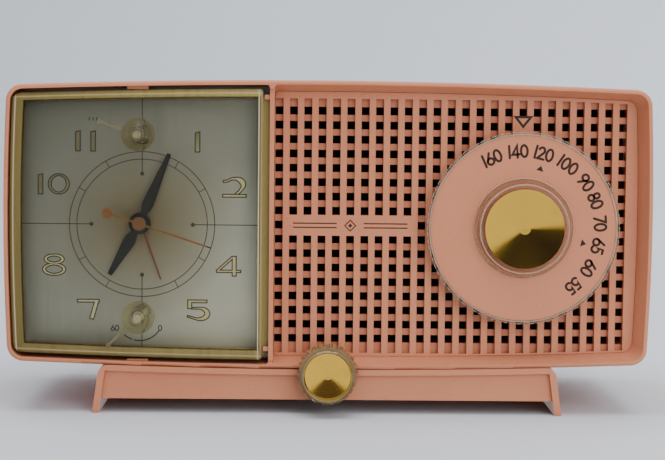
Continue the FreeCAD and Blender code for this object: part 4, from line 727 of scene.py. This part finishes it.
face = bmesh.new()
for radius in (OUTER_RING, INNER_RING):
    stroke(face, arc(*RINGS, radius, radius, 0, 360, 120)[:-1], RING_LINE, CLOCK_FACE,
           closed=True)
for hour in (1, 2, 4, 5, 7, 8, 10, 11):
    stroke(face, ray(hour, INNER_RING, OUTER_RING), HOUR_LINE, CLOCK_FACE)
for hour, reach in ((12, 64.0), (3, 60.0), (6, 64.0), (9, 58.0)):
    ends = ray(hour, 24.5, reach)
    stroke(face, ends, CROSS_LINE, CLOCK_FACE)
    plate(face, arc(*ends[0], 1.0, 1.0, 0, 360, 18)[:-1], CLOCK_FACE)
for start, end in ((228, 251), (255, 326)):  # the sleep timer's scale, with a gap at its stop
    sweep = arc(SLEEP[0] - 0.9, SLEEP[1] - 2.4, 11.2, 11.2, start, end, 24)
    stroke(face, sweep, SLEEP_LINE, CLOCK_FACE)
for text, x, z, spread in (("60", -12.9, -7.5, 1.2), ("0", 9.0, -7.4, 1.1)):
    place = (SLEEP[0] + x, SLEEP[1] + z)
    number(face, text, place, 0, 0, 2.8, 0.50, CLOCK_FACE, spread)
for x in (-25.2, -23.4, -21.6):  # three ticks at the selector's setting
    tick = [(SELECTOR[0] + x, SELECTOR[1] + z) for z in (6.2, 7.8)]
    stroke(face, tick, 0.5, CLOCK_FACE)
printed("clock_print", face, "root", CLOCK_INK, 0.04)

RIM = 0.58  # the dark line around each numeral

# Each numeral is drawn about its own middle: lines with their widths, closed loops, or a plate.
NUMERALS = {
    "1": [("plate", [(-1.4, -5.2), (1.4, -5.2), (1.4, 5.2), (-1.4, 4.5)])],
    "2": [("line", [(-5.7, 2.7)] + arc(0.1, 1.0, 4.2, 3.1, 140, -28, 14)
           + [(2.6, -2.1), (0.5, -3.6)], [1.5, 1.6, 1.8, 3.0, 3.2, 2.4, 1.6]),
          ("line", [(-5.9, -4.2), (6.0, -4.2)], 1.9)],
    "4": [("line", [(2.7, -5.1), (2.7, 5.1)], 2.5),
          ("line", [(-6.2, -2.5), (6.2, -2.5)], 1.7),
          ("line", [(2.3, 4.6), (-5.6, -2.5)], 1.7)],
    "5": [("line", [(-5.4, 4.3), (4.5, 4.3)], 1.9),
          ("line", [(-4.15, 4.9), (-4.15, 0.5)], 2.5),
          ("line", [(-3.6, 0.9)] + arc(0.3, -1.7, 4.1, 2.7, 105, -110, 16) + [(-5.6, -2.9)],
           [1.3, 1.6, 2.6, 3.1, 2.7, 2.0, 1.3])],
    "7": [("line", [(-5.7, 4.1), (5.4, 4.1)], 1.9),
          ("line", [(4.1, 4.5), (1.4, -5.0)], 2.5)],
    "8": [("loop", arc(0, 2.75, 4.1, 1.95, 90, 450, 32)[:-1], [1.5, 2.1, 1.5, 2.1, 1.5]),
          ("loop", arc(0, -2.2, 4.85, 2.5, 90, 450, 32)[:-1], [1.4, 2.1, 1.5, 2.1, 1.4])],
    "0": [("loop", arc(0, 0, 4.35, 4.45, 90, 450, 36)[:-1], [1.45, 2.1, 1.45, 2.1, 1.45])],
}

# Each numeral with its place from the middle of the clock.
HOURS = (("1", -30.25, 39.3), ("1", -22.95, 39.3), ("1", 27.3, 39.3), ("2", 45.2, 17.6),
         ("4", 42.6, -20.8), ("5", 28.0, -42.4), ("7", -25.2, -42.3), ("8", -41.8, -20.8),
         ("1", -48.3, 18.4), ("0", -39.5, 18.4))


def shrunk_plate(corners, rim):
    """A convex plate whose sides are moved in by rim."""
    moved = []
    n = len(corners)
    for i in range(n):
        a, b, c = (Vector(corners[(i + k) % n]) for k in (-1, 0, 1))
        u, v = (b - a).normalized(), (c - b).normalized()
        inward = Vector((-u.y, u.x)) + Vector((-v.y, v.x))
        moved.append(b + inward * (rim / (1 + u.dot(v))))
    return [(p.x, p.y) for p in moved]


def shortened(points, rim):
    """The same line with both its ends drawn in by rim."""
    first, second = Vector(points[0]), Vector(points[1])
    last, before = Vector(points[-1]), Vector(points[-2])
    first += (second - first).normalized() * rim
    last += (before - last).normalized() * rim
    return [tuple(first), *points[1:-1], tuple(last)]


def narrower(widths, rim):
    """The same width or widths, less the rim on either side."""
    if isinstance(widths, (list, tuple)):
        return [w - 2 * rim for w in widths]
    return widths - 2 * rim


def numeral(bm, name, x, z, rim, y):
    """One numeral in the plane y, drawn in by rim all round."""
    for kind, points, *rest in NUMERALS[name]:
        moved = [(px + x, pz + z) for px, pz in points]
        if kind == "plate":
            plate(bm, shrunk_plate(moved, rim) if rim else moved, y)
        elif kind == "loop":
            stroke(bm, moved, narrower(rest[0], rim), y, closed=True)
        else:
            line = shortened(moved, rim) if rim else moved
            stroke(bm, line, narrower(rest[0], rim), y)


outlines = bmesh.new()
fills = bmesh.new()
for name, x, z in HOURS:
    numeral(outlines, name, CLOCK[0] + x, CLOCK[1] + z, 0, CLOCK_FACE)
    numeral(fills, name, CLOCK[0] + x, CLOCK[1] + z, RIM, CLOCK_FACE - 0.05)
printed("numeral_outlines", outlines, "root", CLOCK_INK, 0.05)
printed("numeral_fills", fills, "root", GILT, 0.03)


# ---------------------------------------------------------------- floor, camera and lights

def studio_floor():
    """A pale round floor that curves up into its own backdrop, with painted light making it
    lighter towards the right.
    """
    bm = bmesh.new()
    flat, bend = 1.8, 1.2  # radius of the flat part, and of the curve around it
    profile = [(0.6, 0.0), (flat, 0.0)]
    for step in range(1, 13):
        a = math.radians(90 * step / 12)
        profile.append((flat + bend * math.sin(a), bend - bend * math.cos(a)))
    profile.append((flat + bend, 2 * bend))
    around = 64
    rows = []
    for r, z in profile:
        rows.append([bm.verts.new((r * math.cos(2 * math.pi * k / around),
                                   r * math.sin(2 * math.pi * k / around), z))
                     for k in range(around)])
    bm.faces.new(rows[0])
    for low, high in zip(rows, rows[1:]):
        for k in range(around):
            n = (k + 1) % around
            bm.faces.new((low[k], high[k], high[n], low[n]))
    for f in bm.faces:
        f.smooth = True
    mesh = bpy.data.meshes.new("studio_floor")
    bm.to_mesh(mesh)
    bm.free()
    floor = bpy.data.objects.new("studio_floor", mesh)
    bpy.context.scene.collection.objects.link(floor)
    f = Finish("studio_paper")
    # Painted light: the paper is darker on the left and lighter on the right.
    side = f.span(f.axes()["X"], -1.0, 1.0)
    f.color(f.mix(side, (0.61, 0.64, 0.69), (0.77, 0.81, 0.86)))
    f.rough(f.span(f.noise(40), 0.3, 0.7, 0.75, 0.85))
    mesh.materials.append(f.material)
    floor.visible_glossy = False


CARD_PLANE = -900.0  # Y of the dark cards, in millimetres


def studio_world():
    """A bright room with a dark part below it that only reflections see."""
    world = bpy.data.worlds.new("studio")
    bpy.context.scene.world = world
    world.use_nodes = True
    tree = world.node_tree

    def result(kind, *values, **settings):
        made = tree.nodes.new(kind)
        for key, value in settings.items():
            setattr(made, key, value)
        for socket, value in zip(made.inputs, values):
            if isinstance(value, bpy.types.NodeSocket):
                tree.links.new(value, socket)
            else:
                socket.default_value = value
        return made.outputs[0]

    def calc(operation, a, b):
        return result("ShaderNodeMath", a, b, operation=operation)

    direction = tree.nodes.new("ShaderNodeTexCoord").outputs["Generated"]
    parts = tree.nodes.new("ShaderNodeSeparateXYZ")
    tree.links.new(direction, parts.inputs[0])
    z = parts.outputs["Z"]
    above = result("ShaderNodeMapRange", z, -0.32, -0.28)
    bright = result("ShaderNodeMapRange", z, -0.20, 0.25, 0.95, 0.70)
    strength = calc("ADD", calc("MULTIPLY", above, bright), 0.03)
    background = tree.nodes["Background"]
    background.inputs["Color"].default_value = (0.97, 0.98, 1.0, 1)
    tree.links.new(strength, background.inputs["Strength"])


def dark_card(name, outline, color, level):
    """A dark flag behind the camera that only reflections see."""
    bm = bmesh.new()
    plate(bm, outline, CARD_PLANE)
    bmesh.ops.scale(bm, vec=(MM, MM, MM), verts=list(bm.verts))
    mesh = bpy.data.meshes.new(name)
    bm.to_mesh(mesh)
    bm.free()
    card = bpy.data.objects.new(name, mesh)
    bpy.context.scene.collection.objects.link(card)
    material = bpy.data.materials.new(name)
    material.use_nodes = True
    tree = material.node_tree
    tree.nodes.clear()
    glow = tree.nodes.new("ShaderNodeEmission")
    glow.inputs["Color"].default_value = (*color, 1)
    glow.inputs["Strength"].default_value = level
    output = tree.nodes.new("ShaderNodeOutputMaterial")
    tree.links.new(glow.outputs["Emission"], output.inputs["Surface"])
    mesh.materials.append(material)
    for kind in ("camera", "diffuse", "transmission", "volume_scatter", "shadow"):
        setattr(card, "visible_" + kind, False)


def softbox(name, place, aim, width, height, power):
    """A soft area light at one place, aimed at another."""
    light = bpy.data.lights.new(name, "AREA")
    light.shape = "RECTANGLE"
    light.size, light.size_y = width, height
    light.energy = power
    lamp = bpy.data.objects.new(name, light)
    bpy.context.scene.collection.objects.link(lamp)
    lamp.location = place
    lamp.rotation_euler = (Vector(aim) - Vector(place)).to_track_quat("-Z", "Y").to_euler()
    return lamp


def main_camera():
    """A long lens a little above the radio, turned by small angles from straight on."""
    data = bpy.data.cameras.new("camera")
    data.sensor_width = 36
    data.lens = 92.03
    camera = bpy.data.objects.new("camera", data)
    bpy.context.scene.collection.objects.link(camera)
    yaw, pitch, roll = math.radians(-0.866), math.radians(4.25), math.radians(0.577)
    level = Matrix(((1, 0, 0), (0, 0, -1), (0, 1, 0)))
    turn, tip = Matrix.Rotation(-yaw, 3, "Z"), Matrix.Rotation(pitch, 3, "X")
    seen = Matrix.Rotation(roll, 3, "Z") @ tip @ level @ turn
    turned = seen.transposed() @ Matrix(((1, 0, 0), (0, -1, 0), (0, 0, -1)))
    camera.matrix_world = Matrix.Translation((-0.01045, -0.8588, 0.1483)) @ turned.to_4x4()
    bpy.context.scene.camera = camera


studio_floor()
studio_world()
# The top corner of each card is near where the middle of its spun cap is reflected.
dark_card("tuning_card", [(400, 34), (198, 36), (108, -36), (108, -120), (400, -120)],
          (0.30, 0.27, 1.0), 0.06)
dark_card("volume_card", [(11, -98), (96, -186), (101, -260), (-74, -260), (-68, -198)],
          (0.62, 0.50, 1.0), 0.13)
softbox("overhead", (-0.05, -0.15, 1.35), (0, 0, 0.1), 1.3, 1.0, 15)
softbox("front_fill", (0.7, -1.6, 0.9), (0, 0, 0.1), 1.2, 1.0, 13).visible_glossy = False
softbox("low_fill", (0.70, -1.45, 0.24), (0, 0, 0.06), 1.0, 0.36, 4).visible_glossy = False
softbox("back_wash", (0.5, 1.2, 1.6), (0.4, 2.2, 0.4), 1.6, 0.8, 22).visible_glossy = False
main_camera()
